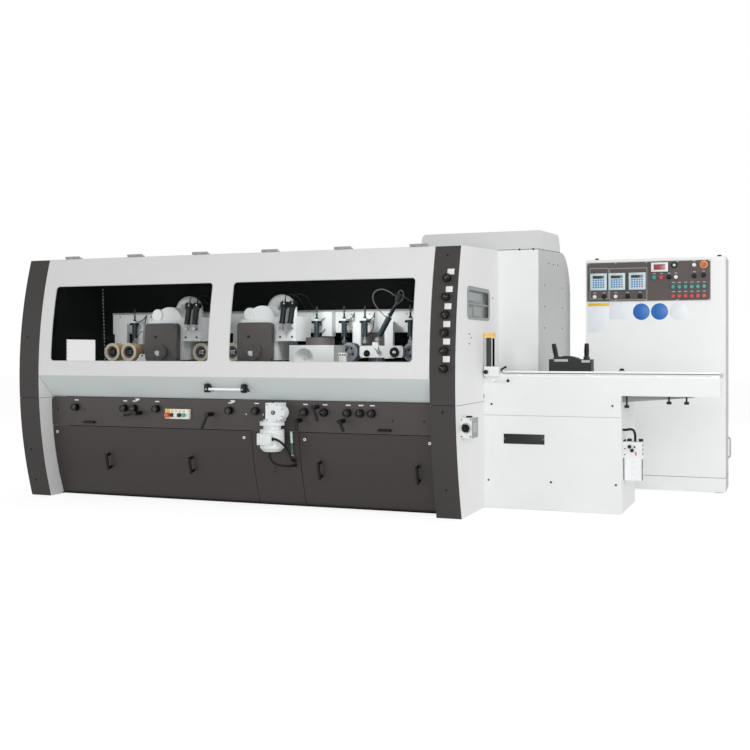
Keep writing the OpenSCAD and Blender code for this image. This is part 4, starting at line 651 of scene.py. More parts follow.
    def piece(self, body: str, slot: str) -> bpy.types.Object:
        """Makes the object and lets it ride a body.

        Args:
            body: Body it moves with.
            slot: Material slot of the record; not used.

        Returns:
            The object.
        """
        mesh = bpy.data.meshes.new(self.name)
        self._mesh.to_mesh(mesh)
        self._mesh.free()
        mesh.transform(Matrix.Scale(MM, 4) @ Matrix.Translation(-MIDDLE))
        mesh.set_sharp_from_angle(angle=SHARP)
        for finish in self._finishes:
            mesh.materials.append(finish.material())
        obj = bpy.data.objects.new(self.name, mesh)
        bpy.context.scene.collection.objects.link(obj)
        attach(obj, body)
        return obj


def coat(node: str, base: Finish, *rules: tuple[Finish, Test]) -> None:
    """Gives the faces of a CAD node their finishes.

    Args:
        node: Name of the node.
        base: Finish of the faces that no rule takes.
        rules: Finishes with the test, on a face's middle and normal, that picks their faces.
    """
    mesh = frame["nodes"][node].data
    mesh.materials.clear()
    for finish in (base, *(rule[0] for rule in rules)):
        mesh.materials.append(finish.material())
    for face in mesh.polygons:
        spot = face.center / MM + MIDDLE
        face.material_index = 0
        for index, (_, test) in enumerate(rules, 1):
            if test(spot, face.normal):
                face.material_index = index
                break


def within(x: Point, y: Point, z: Point) -> Test:
    """Makes a test for faces inside a box, from its lowest and highest X, Y and Z."""
    return lambda c, n: x[0] <= c.x <= x[1] and y[0] <= c.y <= y[1] and z[0] <= c.z <= z[1]


@dataclass
class SubAssembly:
    """Holds what every group of pieces has.

    Attributes:
        body: Body that its pieces ride.
    """

    body: str = "machine"

    def build(self) -> None:
        """Makes the pieces of the group."""
        raise NotImplementedError

    def dress(self) -> None:
        """Gives the CAD nodes of the group their finishes."""
        raise NotImplementedError


@dataclass
class Casing(SubAssembly):
    """Columns, end plates, front panels, liner, roof and bed.

    Attributes:
        labels: Places of the plain plates beside the column knobs, X and Z.
        label: Width, thickness and height of a plate.
        column_screws: Places of the screws of the columns, X and Z.
        plate_screws: Places of the screws of the right end plate, Y and Z.
        window: Lowest and highest corner of the side window, Y and Z.
        sheets: Lowest and highest Y and Z of the frosted sheets behind it.
    """

    labels: tuple[Point, ...] = (
        (3289, 1582), (3286, 1469), (3284, 1360), (3281, 1247), (3283, 1137), (3284, 1026),
    )
    label: Point = (45.0, 1.4, 38.0)
    column_screws: tuple[Point, ...] = (
        (62, 352), (62, 1180), (3258, 690), (3258, 190), (62, 120), (3258, 1690),
    )
    plate_screws: tuple[Point, ...] = ((923, 1450), (365, 1164), (320, 1126), (320, 1188))
    window: tuple[Point, Point] = ((296.0, 1300.0), (806.0, 1480.0))
    sheets: tuple[Point, ...] = (
        (306, 652, 1412, 1464), (306, 432, 1307, 1366), (467, 659, 1310, 1372),
    )

    def build(self) -> None:
        """Makes plates, screws, seams, the side window's gasket and the liner's trim."""
        self._plates()
        self._seams()
        self._side_window()
        self._liner()
        self._comb()

    def _plates(self) -> None:
        """Makes the plain plates beside the knobs and the screws."""
        plates = Solid("column_plates").of(IVORY)
        for x, z in self.labels:
            plates.block((x, bow_y(z) - 0.7, z), self.label, 0.5, bow_turn(z))
        plates.piece(self.body, "white_plastic")
        screws = Solid("column_screws").of(PLASTIC)
        for x, z in self.column_screws:
            screws.screw((x, bow_y(z) + 0.4, z), FRONT, 7.0, 4.0)
        for y, z in self.plate_screws:
            screws.screw((CASE_L - 0.2, y, z), RIGHT, 6.0, 3.0)
        screws.block((CASE_L + 0.4, 685.0, 768.0), (1.6, 12.0, 30.0), 0.5)
        screws.piece(self.body, "black_plastic")

    def _seams(self) -> None:
        """Makes the seams between the upper and the lower casing."""
        seams = Solid("casing_seams").of(SEAM)
        for x in (-0.1, CASE_L + 0.1):
            seams.seam((x, 540.0, 731.0), (0.9, 1030.0, 2.6))
        for x in BAY:
            seams.seam((x, 90.0, 733.0), (0.9, 160.0, 2.6))
        seams.piece(self.body, "dark_paint")

    def _side_window(self) -> None:
        """Makes the gasket, the clouded pane and the frosted sheets of the side window."""
        gasket = Solid("side_window_gasket").of(SEAL)
        low, high = self.window
        outer = rounded((low[0] - 27, low[1] - 16), (high[0] + 26, high[1] + 24), 44.0)
        inner = rounded((low[0] + 3, low[1] + 3), (high[0] - 3, high[1] - 3), 23.0)
        gasket.rim(outer, inner, -2.0, 3.0, lambda u, v, d: Vector((CASE_L + d, u, v)))
        gasket.of(GLASS).block((3329.0, 551.0, 1390.0), (3.6, 540.0, 210.0), 0.6)
        gasket.of(FROST)
        for y0, y1, z0, z1 in self.sheets:
            middle = (3331.4, (y0 + y1) / 2, (z0 + z1) / 2)
            gasket.block(middle, (1.6, y1 - y0, z1 - z0), 0.5)
        gasket.of(SEAL).block((CASE_L - 1.5, 551.0, 1389.0), (3.0, 504.0, 9.0), 0.8)
        gasket.piece(self.body, "black_plastic")

    def _liner(self) -> None:
        """Makes the cheeks of the black liner and the dotted strip in its corner."""
        cheeks = Solid("chamber_cheeks").of(BLACK)
        heights = [965.0 + 39.0 * i for i in range(21)]
        outline = [(bow_y(z) + 50.0, z) for z in heights]
        outline += [(330.0, heights[-1]), (330.0, heights[0])]
        for x in (BAY[0] + 0.2, BAY[1] - 0.8):
            cheeks.slab(outline, x, x + 0.6, lambda u, v, d: Vector((d, u, v)))
        cheeks.piece(self.body, "black_paint")
        strip = Solid("corner_strip").of(WHITE_AND_REFLECTION)
        foot = 1010.0
        for i in range(21):
            z = foot + 28.6 * i
            strip.knob((6.8, 1056.0 - 0.056 * (z - foot), z), RIGHT, 6.5, 2.0)
        strip.piece(self.body, "white_plastic")

    def _comb(self) -> None:
        """Makes the comb of short bars in the outfeed slot."""
        comb = Solid("outfeed_comb").of(PLASTIC)
        comb.block((2.0, 547.0, 1047.0), (3.0, 4.0, 238.0), 0.5)
        for i in range(8):
            comb.block((2.0, 554.0, 946.0 + 29.0 * i), (3.0, 14.0, 12.0), 1.2)
        comb.piece(self.body, "black_plastic")

    def dress(self) -> None:
        """Paints the casing."""
        coat("base_frame", BLACK)
        coat("machine_bed", IRON, (GROUND, lambda c, n: n.z > 0.9 and c.z > 900))
        pane = within((3334.5, 3337.95), (270, 830), (1270, 1530))
        coat("end_cabinets", LIGHT, (PANE, pane))
        coat(
            "front_panels",
            DARK,
            (PLASTIC, self._shelf_pull),
            (COLUMN, lambda c, n: c.x < BAY[0] + 1 or c.x > BAY[1] - 1),
            (RAIL, within((160, 3180), (0, 400), (527.9, 740))),
        )
        hinge = lambda c, n: c.y < 190 and (c.z > 1756.3 or c.y < 150)
        coat("roof_panel", LIGHT, (HINGE, hinge))
        coat(
            "rear_housing",
            # the housing's white, set lighter as painted light
            LIT_HOUSING,
            # the top cover's right side: painted shade
            (SHADED_COVER, lambda c, n: n.x > 0.5 and c.z > 1823),
            # the housing's right side: painted shade
            (SHADED_SIDE, lambda c, n: n.x > 0.5),
            # the top cover's slanted front: painted shade
            (SHADED_COVER, lambda c, n: c.z > 1802 and c.x > 2750 and n.y < -0.5),
        )
        coat("cabin_liner", BLACK)

    @staticmethod
    def _shelf_pull(c: Vector, n: Vector) -> bool:
        """Tells the small shelf pulls from the front panels."""
        return 540 < c.z < 574 and c.y < rail_y(c.z) - 1.0 and BAY[0] < c.x < BAY[1]


@dataclass
class RearHousing(SubAssembly):
    """Seams, louvres and screws of the rear housing.

    Attributes:
        joints: X of the upright joints of its back.
        depth: Y of its back face.
        vents: X of the louvred fields.
        rows: Z of the screws along each joint.
        flank: X of the screw seats on its right side.
        flank_screws: Places of the screws on that side, Y and Z.
    """

    joints: tuple[float, ...] = (727.0, 1454.0, 2181.0, 2908.0)
    depth: float = 2276.0
    vents: tuple[float, ...] = (363.0, 1090.0, 1817.0, 2544.0, 3272.0)
    rows: tuple[float, ...] = (70.0, 420.0, 780.0, 1140.0, 1430.0)
    flank: float = 3635.8
    flank_screws: tuple[Point, ...] = (
        (1287, 1555), (1287, 1400), (1287, 1245), (1422, 1725), (1594, 1729), (1761, 1736),
        (1931, 1570), (1931, 1412), (1931, 1254),
    )

    def build(self) -> None:
        """Makes seams, louvres and screws."""
        seams = Solid("housing_seams").of(SEAM)
        for x in self.joints:
            seams.seam((x, self.depth + 0.2, 760.0), (3.0, 0.9, 1440.0))
        seams.seam((3196.0, 1072.8, 1801.5), (878.0, 0.9, 3.6))
        tilt = Matrix.Rotation(math.atan(44.0 / 853.0), 4, "X")
        seams.seam((3636.2, 1463.0, 1821.5), (0.9, 778.0, 3.6), tilt)
        seams.piece(self.body, "dark_paint")
        louvres = Solid("housing_louvres").of(LIT_HOUSING)
        turn = Matrix.Rotation(math.radians(24.0), 4, "X")
        for x in self.vents:
            for row in range(9):
                spot = (x, self.depth + 1.5, 330.0 + 42.0 * row)
                louvres.block(spot, (320.0, 4.0, 26.0), 1.2, turn)
        louvres.piece(self.body, "light_paint")
        screws = Solid("housing_screws").of(ZINC)
        for x in (66.0, *(joint + 26.0 for joint in self.joints), 3596.0):
            for z in self.rows:
                screws.screw((x, self.depth - 0.2, z), -FRONT, 7.0, 4.0)
        screws.of(PLASTIC)
        for y, z in self.flank_screws:
            screws.screw((self.flank, y, z), RIGHT, 6.0, 3.0)
        for x in (3230.0, 3500.0, 3600.0):
            screws.screw((x, 1073.2, 1801.5), FRONT, 7.0, 4.0)
        screws.piece(self.body, "ground_steel")

    def dress(self) -> None:
        """Leaves the paint to the casing."""


@dataclass
class Hood(SubAssembly):
    """Hood with its windows and handle.

    Attributes:
        windows: Lowest and highest X of each window.
        heights: Lowest and highest Z of the windows.
        rows: Points along each upright side of a gasket.
    """

    body: str = "hood"
    windows: tuple[Point, Point] = ((277.0, 1578.0), (1742.0, 3056.0))
    heights: Point = (1007.0, 1548.0)
    rows: int = 24

    def build(self) -> None:
        """Makes the window gaskets and the handle's bolts and cups."""
        gasket = Solid("hood_gaskets").of(TRIM)
        z0, z1 = self.heights
        for x0, x1 in self.windows:
            outer = rounded((x0 - 4, z0 - 4), (x1 + 4, z1 + 4), 29.0, self.rows)
            inner = rounded((x0 + 0.5, z0 + 0.5), (x1 - 0.5, z1 - 0.5), 24.0, self.rows)
            gasket.rim(outer, inner, -1.6, 3.6, lambda u, v, d: Vector((u, bow_y(v) + d, v)))
        gasket.piece(self.body, "black_plastic")
        bolts = Solid("handle_bolts").of(ZINC)
        for x in (1556.0, 1834.0):
            bolts.screw((x, 16.4, 815.0), FRONT, 6.0, 3.0)
        bolts.piece(self.body, "ground_steel")
        cups = Solid("handle_cups").of(PLASTIC)
        for x in (1553.0, 1837.0):
            cups.block((x, 44.0, 822.0), (36.0, 50.0, 62.0), 12.0)
        cups.piece(self.body, "black_plastic")

    def dress(self) -> None:
        """Paints the hood."""
        lip = lambda c, n: n.z < -0.3 and c.z < 900
        coat("hood_shell", LIGHT, (HINGE, lambda c, n: c.z > 1751.0), (LIP, lip))
        coat("hood_windows", PANE)
        # The handle's chrome bar is painted near-white as its reflection (painted reflection).
        coat("hood_handle", PLASTIC, (WHITE_AND_REFLECTION, within((1570, 1820), ANY, ANY)))


@dataclass
class FrontRail(SubAssembly):
    """Control rail with knobs, levers and the push-button station.

    Attributes:
        knobs: Places of the rail knobs as shares of the casing's length.
        column: Heights of the column knobs as shares of the casing's height.
        row: Z of the rail knobs.
        plate_row: Z of the plain plates above them.
        pale_screws: Places of the zinc screws of the rail, X and Z.
        dark_screws: Places of the black screws of the rail, X and Z.
        station: Lowest X, width, lowest Z and height of the station's box.
        buttons: Places of its buttons as shares of its width.
    """

    knobs: tuple[float, ...] = (
        0.1155, 0.2412, 0.2654, 0.3217, 0.4979, 0.5592, 0.6694, 0.7130, 0.7633, 0.7905, 0.8148,
    )
    column: tuple[float, ...] = (0.881, 0.812, 0.747, 0.682, 0.617, 0.5525)
    row: float = 664.0
    plate_row: float = 716.0
    pale_screws: tuple[Point, ...] = ((1500, 634), (1792, 640), (1923, 640), (1984, 560))
    dark_screws: tuple[Point, ...] = (
        (222, 650), (458, 646), (1985, 273), (1985, 246), (2190, 640), (2870, 620), (3085, 620),
    )
    station: Point = (1158.5, 193.0, 597.0, 69.0)
    buttons: tuple[float, ...] = (0.31, 0.47, 0.63, 0.80)

    def build(self) -> None:
        """Makes knob faces, rail plates and the station's fittings."""
        for i, share in enumerate(self.knobs, 1):
            foot = (CASE_L * share, rail_y(self.row) - 4.0, self.row)
            self._knob_face(f"rail_knob_{i}", foot, 35.0 * i)
        for i, share in enumerate(self.column, 1):
            z = CASE_H * share
            front = min(bow_y(z - 29.0), bow_y(z + 29.0)) - 4.0
            self._knob_face(f"column_knob_{i}", (CASE_L - 72.0, front, z), 50.0 * i)
        self._plates()
        screws = Solid("rail_screws").of(ZINC)
        for x, z in self.pale_screws:
            screws.screw((x, rail_y(z) + 0.2, z), FRONT, 6.0, 3.0)
        screws.of(PLASTIC)
        for x, z in self.dark_screws:
            screws.screw((x, rail_y(z) + 0.3, z), FRONT, 6.0, 3.0)
        screws.piece(self.body, "ground_steel")
        self._station()

    def _knob_face(self, node: str, foot: Point, angle: float) -> None:
        """Makes the insert and index mark on a knob's face.

        Args:
            node: Knob's node and body.
            foot: Middle of the knob's back face.
            angle: Way the index points, in degrees.
        """
        x, back, z = foot
        front = back - 34.0
        face = Solid(f"{node}_face").of(INSERT)
        dish = [(0, 0), (8.0, 0), (8.0, 1.2), (7.0, 1.9), (3.5, 1.9), (3.0, 1.0), (0, 1.0)]
        face.lathe((x, front + 0.3, z), FRONT, dish)
        turn = Matrix.Rotation(math.radians(angle), 4, "Y")
        mark = turn @ Vector((0.0, 0.0, 14.0))
        spot = (x + mark.x, front - 0.2, z + mark.z)
        face.of(LINE).block(spot, (1.6, 0.9, 6.0), 0.2, turn)
        face.piece(node, "ground_steel")

    def _plates(self) -> None:
        """Makes the plain plates above the rail knobs and the two clips."""
        plates = Solid("rail_plates").of(IVORY)
        z = self.plate_row
        for share in self.knobs:
            spot = (CASE_L * share + 4.0, rail_y(z) - 0.5, z)
            plates.block(spot, (34.0, 1.0, 8.0), 0.3, rail_turn(z))
        for x in (914.0, 1688.0):
            clip = [(x - 21.0, 734.0), (x + 21.0, 734.0), (x + 9.0, 719.0), (x - 9.0, 719.0)]
            plates.slab(clip, -1.4, 0.2, lambda u, v, d: Vector((u, rail_y(v) + d, v)))
        plates.piece(self.body, "white_plastic")

    def _station(self) -> None:
        """Makes lamps, bezels and screws of the station."""
        x0, width, z0, height = self.station
        face = rail_y(z0 + height) - 0.2 - 24.0
        middle = z0 + 0.5 * height
        trim = Solid("station_trim").of(AMBER)
        for share in self.buttons:
            trim.knob((x0 + share * width, face + 0.2, z0 + 0.82 * height), FRONT, 5.5, 4.0)
        field = (0.21 * width, 0.6, height - 3.0)
        trim.of(YELLOW).block((x0 + 0.115 * width, face - 0.1, middle), field, 0.2)
        trim.of(IVORY).block((x0 + 0.955 * width, face - 0.3, middle), (9.0, 1.0, 40.0), 0.3)
        trim.of(ZINC)
        for x in (x0 + 6.0, x0 + width - 6.0):
            for z in (z0 + 6.0, z0 + height - 6.0):
                trim.screw((x, face + 0.1, z), FRONT, 3.2, 1.8)
        trim.piece(self.body, "white_plastic")

    def dress(self) -> None:
        """Gives knobs, levers and station buttons their finishes."""
        for i in range(1, len(self.knobs) + 1):
            coat(f"rail_knob_{i}", PLASTIC, (ZINC, lambda c, n: c.y > 153.5))
        for i in range(1, len(self.column) + 1):
            coat(f"column_knob_{i}", PLASTIC)
        for i in range(1, 6):
            coat(f"clamp_lever_{i}", PLASTIC)
        x0, width = self.station[:2]
        first, second, third, fourth = (x0 + share * width for share in self.buttons)
        coat(
            "station_buttons",
            RED,
            (PLASTIC, lambda c, n: abs(c.x - first) < 15 or abs(c.x - third) < 15),
            (IVORY, lambda c, n: abs(c.x - second) < 15),
            (GREEN, lambda c, n: abs(c.x - fourth) < 15),
        )


@dataclass
class Doors(SubAssembly):
    """Lift-off doors with pulls and locks.

    Attributes:
        locks: X of the locks of the left and right door.
        level: Z of the locks.
    """

    locks: tuple[Point, Point] = ((208.9, 1768.9), (2230.1, 3119.8))
    level: float = 478.0

    def build(self) -> None:
        """Makes the dark cores of the locks."""
        way = rail_turn(self.level) @ FRONT
        for side, places in zip(("left", "right"), self.locks):
            cores = Solid(f"{side}_lock_cores").of(PLASTIC)
            for x in places:
                seat = Vector((x, rail_y(self.level), self.level))
                cores.knob(seat + 5.6 * way, way, 4.0, 1.2)
            cores.piece(f"{side}_door", "black_plastic")

    def dress(self) -> None:
        """Paints the doors."""
        pull = lambda c, n: 210 < c.z < 340 and c.y < rail_y(c.z) - 0.6
        for side, places in zip(("left", "right"), self.locks):
            coat(f"{side}_door", DARK, (WHITE_AND_REFLECTION, self._near(places)), (PLASTIC, pull))

    def _near(self, places: Point) -> Test:
        """Makes the test for lock faces.

        Args:
            places: X of a door's locks.

        Returns:
            The test on a face's middle and normal.
        """
        reach = 16
        return lambda c, n: (
            abs(c.z - self.level) < reach
            and c.y < rail_y(c.z) - 0.1
            and min(abs(c.x - x) for x in places) < reach
        )


@dataclass
class Gearmotor(SubAssembly):
    """Gearmotor on the centre panel with its leads and the oil sight tube.

    Attributes:
        middle: X of the worm box's tube.
        level: Z of the worm box.
        routes: Middle lines of the leads.
        glands: Y and Z of the panel glands' fronts.
        sight: X of the sight tube.
    """

    middle: float = 2084.07
    level: float = 664.0
    routes: tuple[Route, ...] = ()
    glands: tuple[Point, ...] = ((179.5, 330.0), (186.9, 296.0))
    sight: float = 2134.0

    def build(self) -> None:
        """Makes leads, bolts, lid and sight tube."""
        self._leads()
        self._bolts()
        self._lid()
        self._sight()

    def _leads(self) -> None:
        """Makes the leads with their glands, in place of the CAD's."""
        leads = Solid("lead_set").of(RUBBER)
        for route in self.routes:
            leads.tube(route, 8.1)
        gland = [(0, 0), (10, 0), (12, 2), (12, 8), (10.5, 9), (10.5, 11), (12, 12)]
        gland += [(12, 16.6), (0, 16.6)]
        for y, z in self.glands:
            leads.lathe((self.middle + 62.0, y, z), -FRONT, gland, 24)
        obj = leads.piece(self.body, "lead_rubber")
        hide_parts("power_leads")

    def _bolts(self) -> None:
        """Makes the bolts, the filler plug and the shaft's collar."""
        x = self.middle
        bolts = Solid("gear_bolts").of(ZINC)
        for dx, dz in ((-60, 52), (14, 52), (-60, -50), (14, -50), (52, 24), (52, -24)):
            bolts.screw((x + dx, 14.2, self.level + dz), FRONT, 6.0, 5.0)
        reach = 72
        for degrees in (20, 160, 200, 340):
            angle = math.radians(degrees)
            spot = (x - 50 + reach * math.cos(angle), 71 + reach * math.sin(angle), 600.0)
            bolts.screw(spot, UP, 6.0, 6.0)
        bolts.of(PLASTIC).knob((x - 46.0, 70.0, 727.8), UP, 9.0, 9.0)
        bolts.ring((x - 13.0, 10.2, self.level), FRONT, 9.5, 15.0, 2.4)
        bolts.piece(self.body, "ground_steel")

    def _lid(self) -> None:
        """Makes the lid, the screws and the gland of the terminal box."""
        x = self.middle
        lid = Solid("terminal_lid").of(CASTING)
        lid.block((x - 59.0, -36.8, 487.0), (98.0, 3.0, 70.0), 1.4)
        lid.of(ZINC)
        for dx in (-102.0, -16.0):
            for z in (458.0, 516.0):
                lid.screw((x + dx, -38.0, z), FRONT, 3.2, 1.6)
        gland = [(8.2, 0), (12, 0), (12, 7), (10.5, 9), (8.2, 9), (8.2, 0.1)]
        lid.of(PLASTIC).lathe((x - 7.2, -14.0, 489.0), RIGHT, gland, 20)
        lid.piece(self.body, "casting_paint")

    def _sight(self) -> None:
        """Makes the oil sight tube with its oil and its two brackets."""
        radius = 9.0
        sight = Solid("oil_sight")
        for finish, heights in ((MINT, (526, 500, 476, 452)), (OIL, (451, 424, 398, 370))):
            sight.of(finish)
            sight.tube([(self.sight, rail_y(z) - radius, z) for z in heights], radius)
        sight.of(ZINC)
        for z in (529.0, 366.0):
            sight.block((self.sight, rail_y(z) - radius, z), (24.0, 18.0, 7.0), 1.0)
        sight.piece(self.body, "white_plastic")

    def dress(self) -> None:
        """Paints the gearmotor."""
        coat("lift_gearmotor", CASTING)
        coat("power_leads", RUBBER)


@dataclass
class Chamber(SubAssembly):
    """Feed beam, top spindle units, side hoods, cylinders, rollers and cutters.

    Attributes:
        units: X of the top spindle units.
        twins: X of a unit's two cylinders from its middle.
        uprights: X of the upright air cylinders.
        upright_y: Y of their axes.
        level: Z of the roller axes.
        roller_face: Y of the rollers' front faces.
        core: Radius of a roller's hub.
        rollers: X of the feed rollers by body.
        spindles: Names of the spindles.
        loops: Middle lines of the grey hoses at the infeed arm.
    """

    units: Point = (1642.93, 852.88)
    twins: Point = (237.4, 303.6)
    uprights: tuple[float, ...] = (440.1, 2021.9, 2242.5, 2406.2, 2757.2)
    upright_y: float = 838.0
    level: float = 1068.0
    roller_face: float = 728.9
    core: float = 46.0
    rollers: tuple[tuple[str, float], ...] = (
        ("outfeed_roller_1", 312.14),
        ("outfeed_roller_2", 464.84),
        ("middle_roller_1", 1108.88),
        ("middle_roller_2", 1379.93),
        ("infeed_roller_1", 2329.04),
        ("infeed_roller_2", 2808.95),
    )
    spindles: tuple[str, ...] = (
        "bottom_spindle",
        "right_spindle",
        "left_spindle",
        "first_top_spindle",
        "second_top_spindle",
    )
    loops: tuple[Route, ...] = ()

    def build(self) -> None:
        """Makes bolts, fittings, hoses and the rollers' hubs."""
        for i, x in enumerate(self.units, 1):
            self._unit(i, x)
        bolts = Solid("beam_bolts").of(ZINC)
        self._beam(bolts)
        self._arm(bolts)
        self._uprights(bolts)
        self._brackets(bolts)
        bolts.piece(self.body, "ground_steel")
        self._hoses()
        for name, x in self.rollers:
            self._hub(name, x)

    def _unit(self, number: int, x: float) -> None:
        """Makes the fittings of one top spindle unit.

        Args:
            number: Number of the unit.
            x: Its middle.
        """
        cover = 560.2
        trim = Solid(f"top_unit_trim_{number}").of(COVER)
        for dx in (-118.0, 118.0):
            for z in (1026.0, 1262.0):
                trim.screw((x + dx, cover, z), FRONT, 6.0, 4.0)
        trim.of(PLASTIC).knob((x - 43.0, cover, 1182.0), FRONT, 9.0, 8.0)
        trim.of(COVER).ring((x, 536.2, self.level + 7.0), FRONT, 40.0, 52.0, 2.5)
        trim.of(IVORY).block((x - 18.0, 535.7, 1059.0), (36.0, 1.0, 36.0), 0.3)
        trim.of(PLASTIC)
        for spot in (x + dx for dx in self.twins):
            trim.block((spot + 6.0, 574.0, 1414.0), (56.0, 40.0, 40.0), 4.0)
            trim.of(CHROME).knob((spot + 12.0, 554.2, 1420.0), FRONT, 6.0, 5.0)
            trim.of(PLASTIC)
            trim.knob((spot - 10.0, 566.0, 1420.0), UP, 6.0, 22.0)
            trim.knob((spot + 14.0, 566.0, 1420.0), UP, 6.0, 30.0)
        trim.piece(self.body, "ground_steel")

    def _beam(self, bolts: Solid) -> None:
        """Adds the bolts of the feed beam and of the guard behind the infeed arm.

        Args:
            bolts: Piece to add to.
        """
        for x in (220.0 + 145.0 * i for i in range(19)):
            if min(abs(x - unit) for unit in self.units) > 330.0:
                bolts.screw((x, 965.2, 1350.0), FRONT, 7.0, 6.0)
        for x in (2348.0, 2532.0):
            for z in (1090.0, 1195.0):
                bolts.screw((x, 935.2, z), FRONT, 6.0, 5.0)

    def _arm(self, bolts: Solid) -> None:
        """Adds the infeed arm's pivots, the slanted cylinder's head and the left hood's cap.

        Args:
            bolts: Piece to add to.
        """
        arm, head = 672.2, 687.0
        bolts.of(PLASTIC).knob((2486.0, arm, 1060.0), FRONT, 24.0, 6.0)
        bolts.ring((2695.0, arm, self.level), FRONT, 13.0, 36.0, 4.0)
        bolts.of(CHROME).knob((2695.0, arm, self.level), FRONT, 12.8, 9.0)
        bolts.of(PLASTIC).knob((2139.9, 636.0, 1173.9), UP, 16.0, 12.0)
        bolts.knob((2655.0, head, 1325.5), leaning(LEAN), 14.0, 76.0)
        turn = Matrix.Rotation(LEAN, 4, "Y")
        bolts.block((2724.0, head, 1450.0), (34.0, 36.0, 58.0), 3.0, turn)
        bolts.block((2700.0, head, 1474.0), (46.0, 20.0, 14.0), 3.0)

    def _uprights(self, bolts: Solid) -> None:
        """Adds the side fittings, rods and nuts of the upright cylinders.

        Args:
            bolts: Piece to add to.
        """
        y = self.upright_y
        for x in self.uprights:
            bolts.of(PLASTIC)
            for dx in (-29.0, 29.0):
                bolts.block((x + dx, y - 4.0, 1290.0), (16.0, 24.0, 18.0), 2.0)
            bolts.knob((x, y, 1314.2), UP, 13.0, 12.0)
            bolts.of(TWIN).knob((x, y, 1326.0), UP, 6.5, 82.0)
            bolts.of(ZINC).ring((x, y, 1356.0), UP, 6.6, 11.0, 9.0)

    def _brackets(self, bolts: Solid) -> None:
        """Adds the beam's post, the bed's bracket, the small plate and the outfeed guard.

        Args:
            bolts: Piece to add to.
        """
        bolts.of(CASTING).block((2081.0, 927.0, 1278.0), (82.0, 75.0, 182.0), 2.0)
        gusset = [(545, 928), (692, 928), (662, 1052), (622, 1052)]
        bolts.slab(gusset, 634.0, 646.0, lambda u, v, d: Vector((u, d, v)))
        bolts.block((618.5, 660.0, 932.0), (126.0, 27.0, 8.0), 1.5)
        bolts.of(PLASTIC).knob((641.0, 634.2, 1040.0), FRONT, 7.0, 2.0)
        bolts.of(IVORY).block((2344.0, 582.0, 1022.0), (60.0, 40.0, 84.0), 2.0)
        bolts.of(PLASTIC)
        for x in (2326.0, 2345.0, 2364.0):
            bolts.block((x, 561.6, 1050.0), (11.0, 2.4, 11.0), 0.5)
        bolts.of(GUARD)
        for x, z, width, height in (
            (452.5, 1113.0, 215.0, 34.0), (391.0, 1066.0, 92.0, 62.0), (526.5, 1066.0, 67.0, 62.0),
        ):
            bolts.block((x, 843.0, z), (width, 36.0, height), 2.0)

    def _hoses(self) -> None:
        """Makes the thin air hoses between cylinders and beam."""
        sides = 8
        hoses = Solid("air_hoses").of(RUBBER)
        for x in self.uprights:
            for z, reach in ((1274.0, 42.0), (1196.0, 56.0)):
                route = (
                    (x + 20.0, 832.0, z),
                    (x + 34.0, 826.0, z - 6.0),
                    (x + reach, 836.0, z + 30.0),
                    (x + 40.0, 900.0, z + 52.0),
                    (x + 30.0, 962.0, 1362.0),
                )
                hoses.tube(route, 3.2, sides)
        for x in (unit + dx for unit in self.units for dx in self.twins):
            route = (
                (x + 14.0, 566.0, 1448.0),
                (x + 20.0, 566.0, 1474.0),
                (x + 40.0, 600.0, 1490.0),
                (x + 52.0, 700.0, 1470.0),
                (x + 40.0, 860.0, 1400.0),
                (x + 30.0, 970.0, 1385.0),
            )
            hoses.tube(route, 3.2, sides)
        hoses.of(HOSE)
        for route in self.loops:
            hoses.tube(route, 3.4, sides)
        hoses.piece(self.body, "lead_rubber")

    def _hub(self, name: str, x: float) -> None:
        """Makes the hub plate of a feed roller.

        Args:
            name: Roller's node and body.
            x: Middle of the roller.
        """
        hub = Solid(f"{name}_hub")
        middle = Vector((x, self.roller_face, self.level))
        if name.startswith("infeed"):
            hub.of(PLASTIC)
            for angle in (math.radians(60.0 + 90.0 * i) for i in range(4)):
                way = Vector((math.cos(angle), 0.0, math.sin(angle)))
                hub.screw(middle + 30.0 * way, FRONT, 8.0, 4.0)
            hub.knob(middle, FRONT, 9.0, 4.0)
        else:
            hub.of(HUB).ring(middle, FRONT, 34.0, 47.4, 4.0)
            hub.of(PLASTIC).ring(middle, FRONT, 9.0, 33.8, 2.0)
            hub.of(CHROME).knob(middle, FRONT, 8.8, 7.0)
            for dz in (-12.0, 12.0):
                hub.block(middle + Vector((3.0, -4.1, dz)), (40.0, 4.6, 9.0), 1.2)
        hub.piece(name, "ground_steel")

    def dress(self) -> None:
        """Gives the chamber's nodes their finishes."""
        covers: list[tuple[Finish, Test]] = [
            (COVER, within((x - 138.5, x + 138.5), (530, 618.1), (1000, 1290))) for x in self.units
        ]
        covers.append((COVER, within((2031, 2249), (525, 745), (1118.05, 1180))))
        for x in self.units:
            covers.append((PLASTIC, within((x + 180, x + 305), (590, 599.9), (1168, 1252))))
            covers.append((DUCT, self._duct(x)))
        covers.append((COVER, within((2325, 2555), (930, 1050), (1065, 1216))))
        coat("spindle_units", CASTING, *covers)
        pin = within((2540, 2620), (600, 675), (1040, 1100))
        coat("feed_beam", CASTING, (GROUND, pin), (SHADE, lambda c, n: c.z > 1370.1))
        coat("air_cylinders", TEAL, (ZINC, self._rod), (TWIN, lambda c, n: c.y < 620))
        for name in self.spindles:
            coat(name, TOOL)
        for name, x in self.rollers:
            if name.startswith("infeed"):
                coat(name, ROLLER)
            else:
                tread = TREAD if name.startswith("outfeed") else TYRE
                coat(name, tread, (RIM, self._rim(x)), (TOOL, self._core(x)))

    @staticmethod
    def _rod(c: Vector, n: Vector) -> bool:
        """Tells a cylinder's rod and fork from its barrel."""
        limit = 1273 if c.y < 620 else 1179 if c.y > 700 else 1175
        return c.z < limit

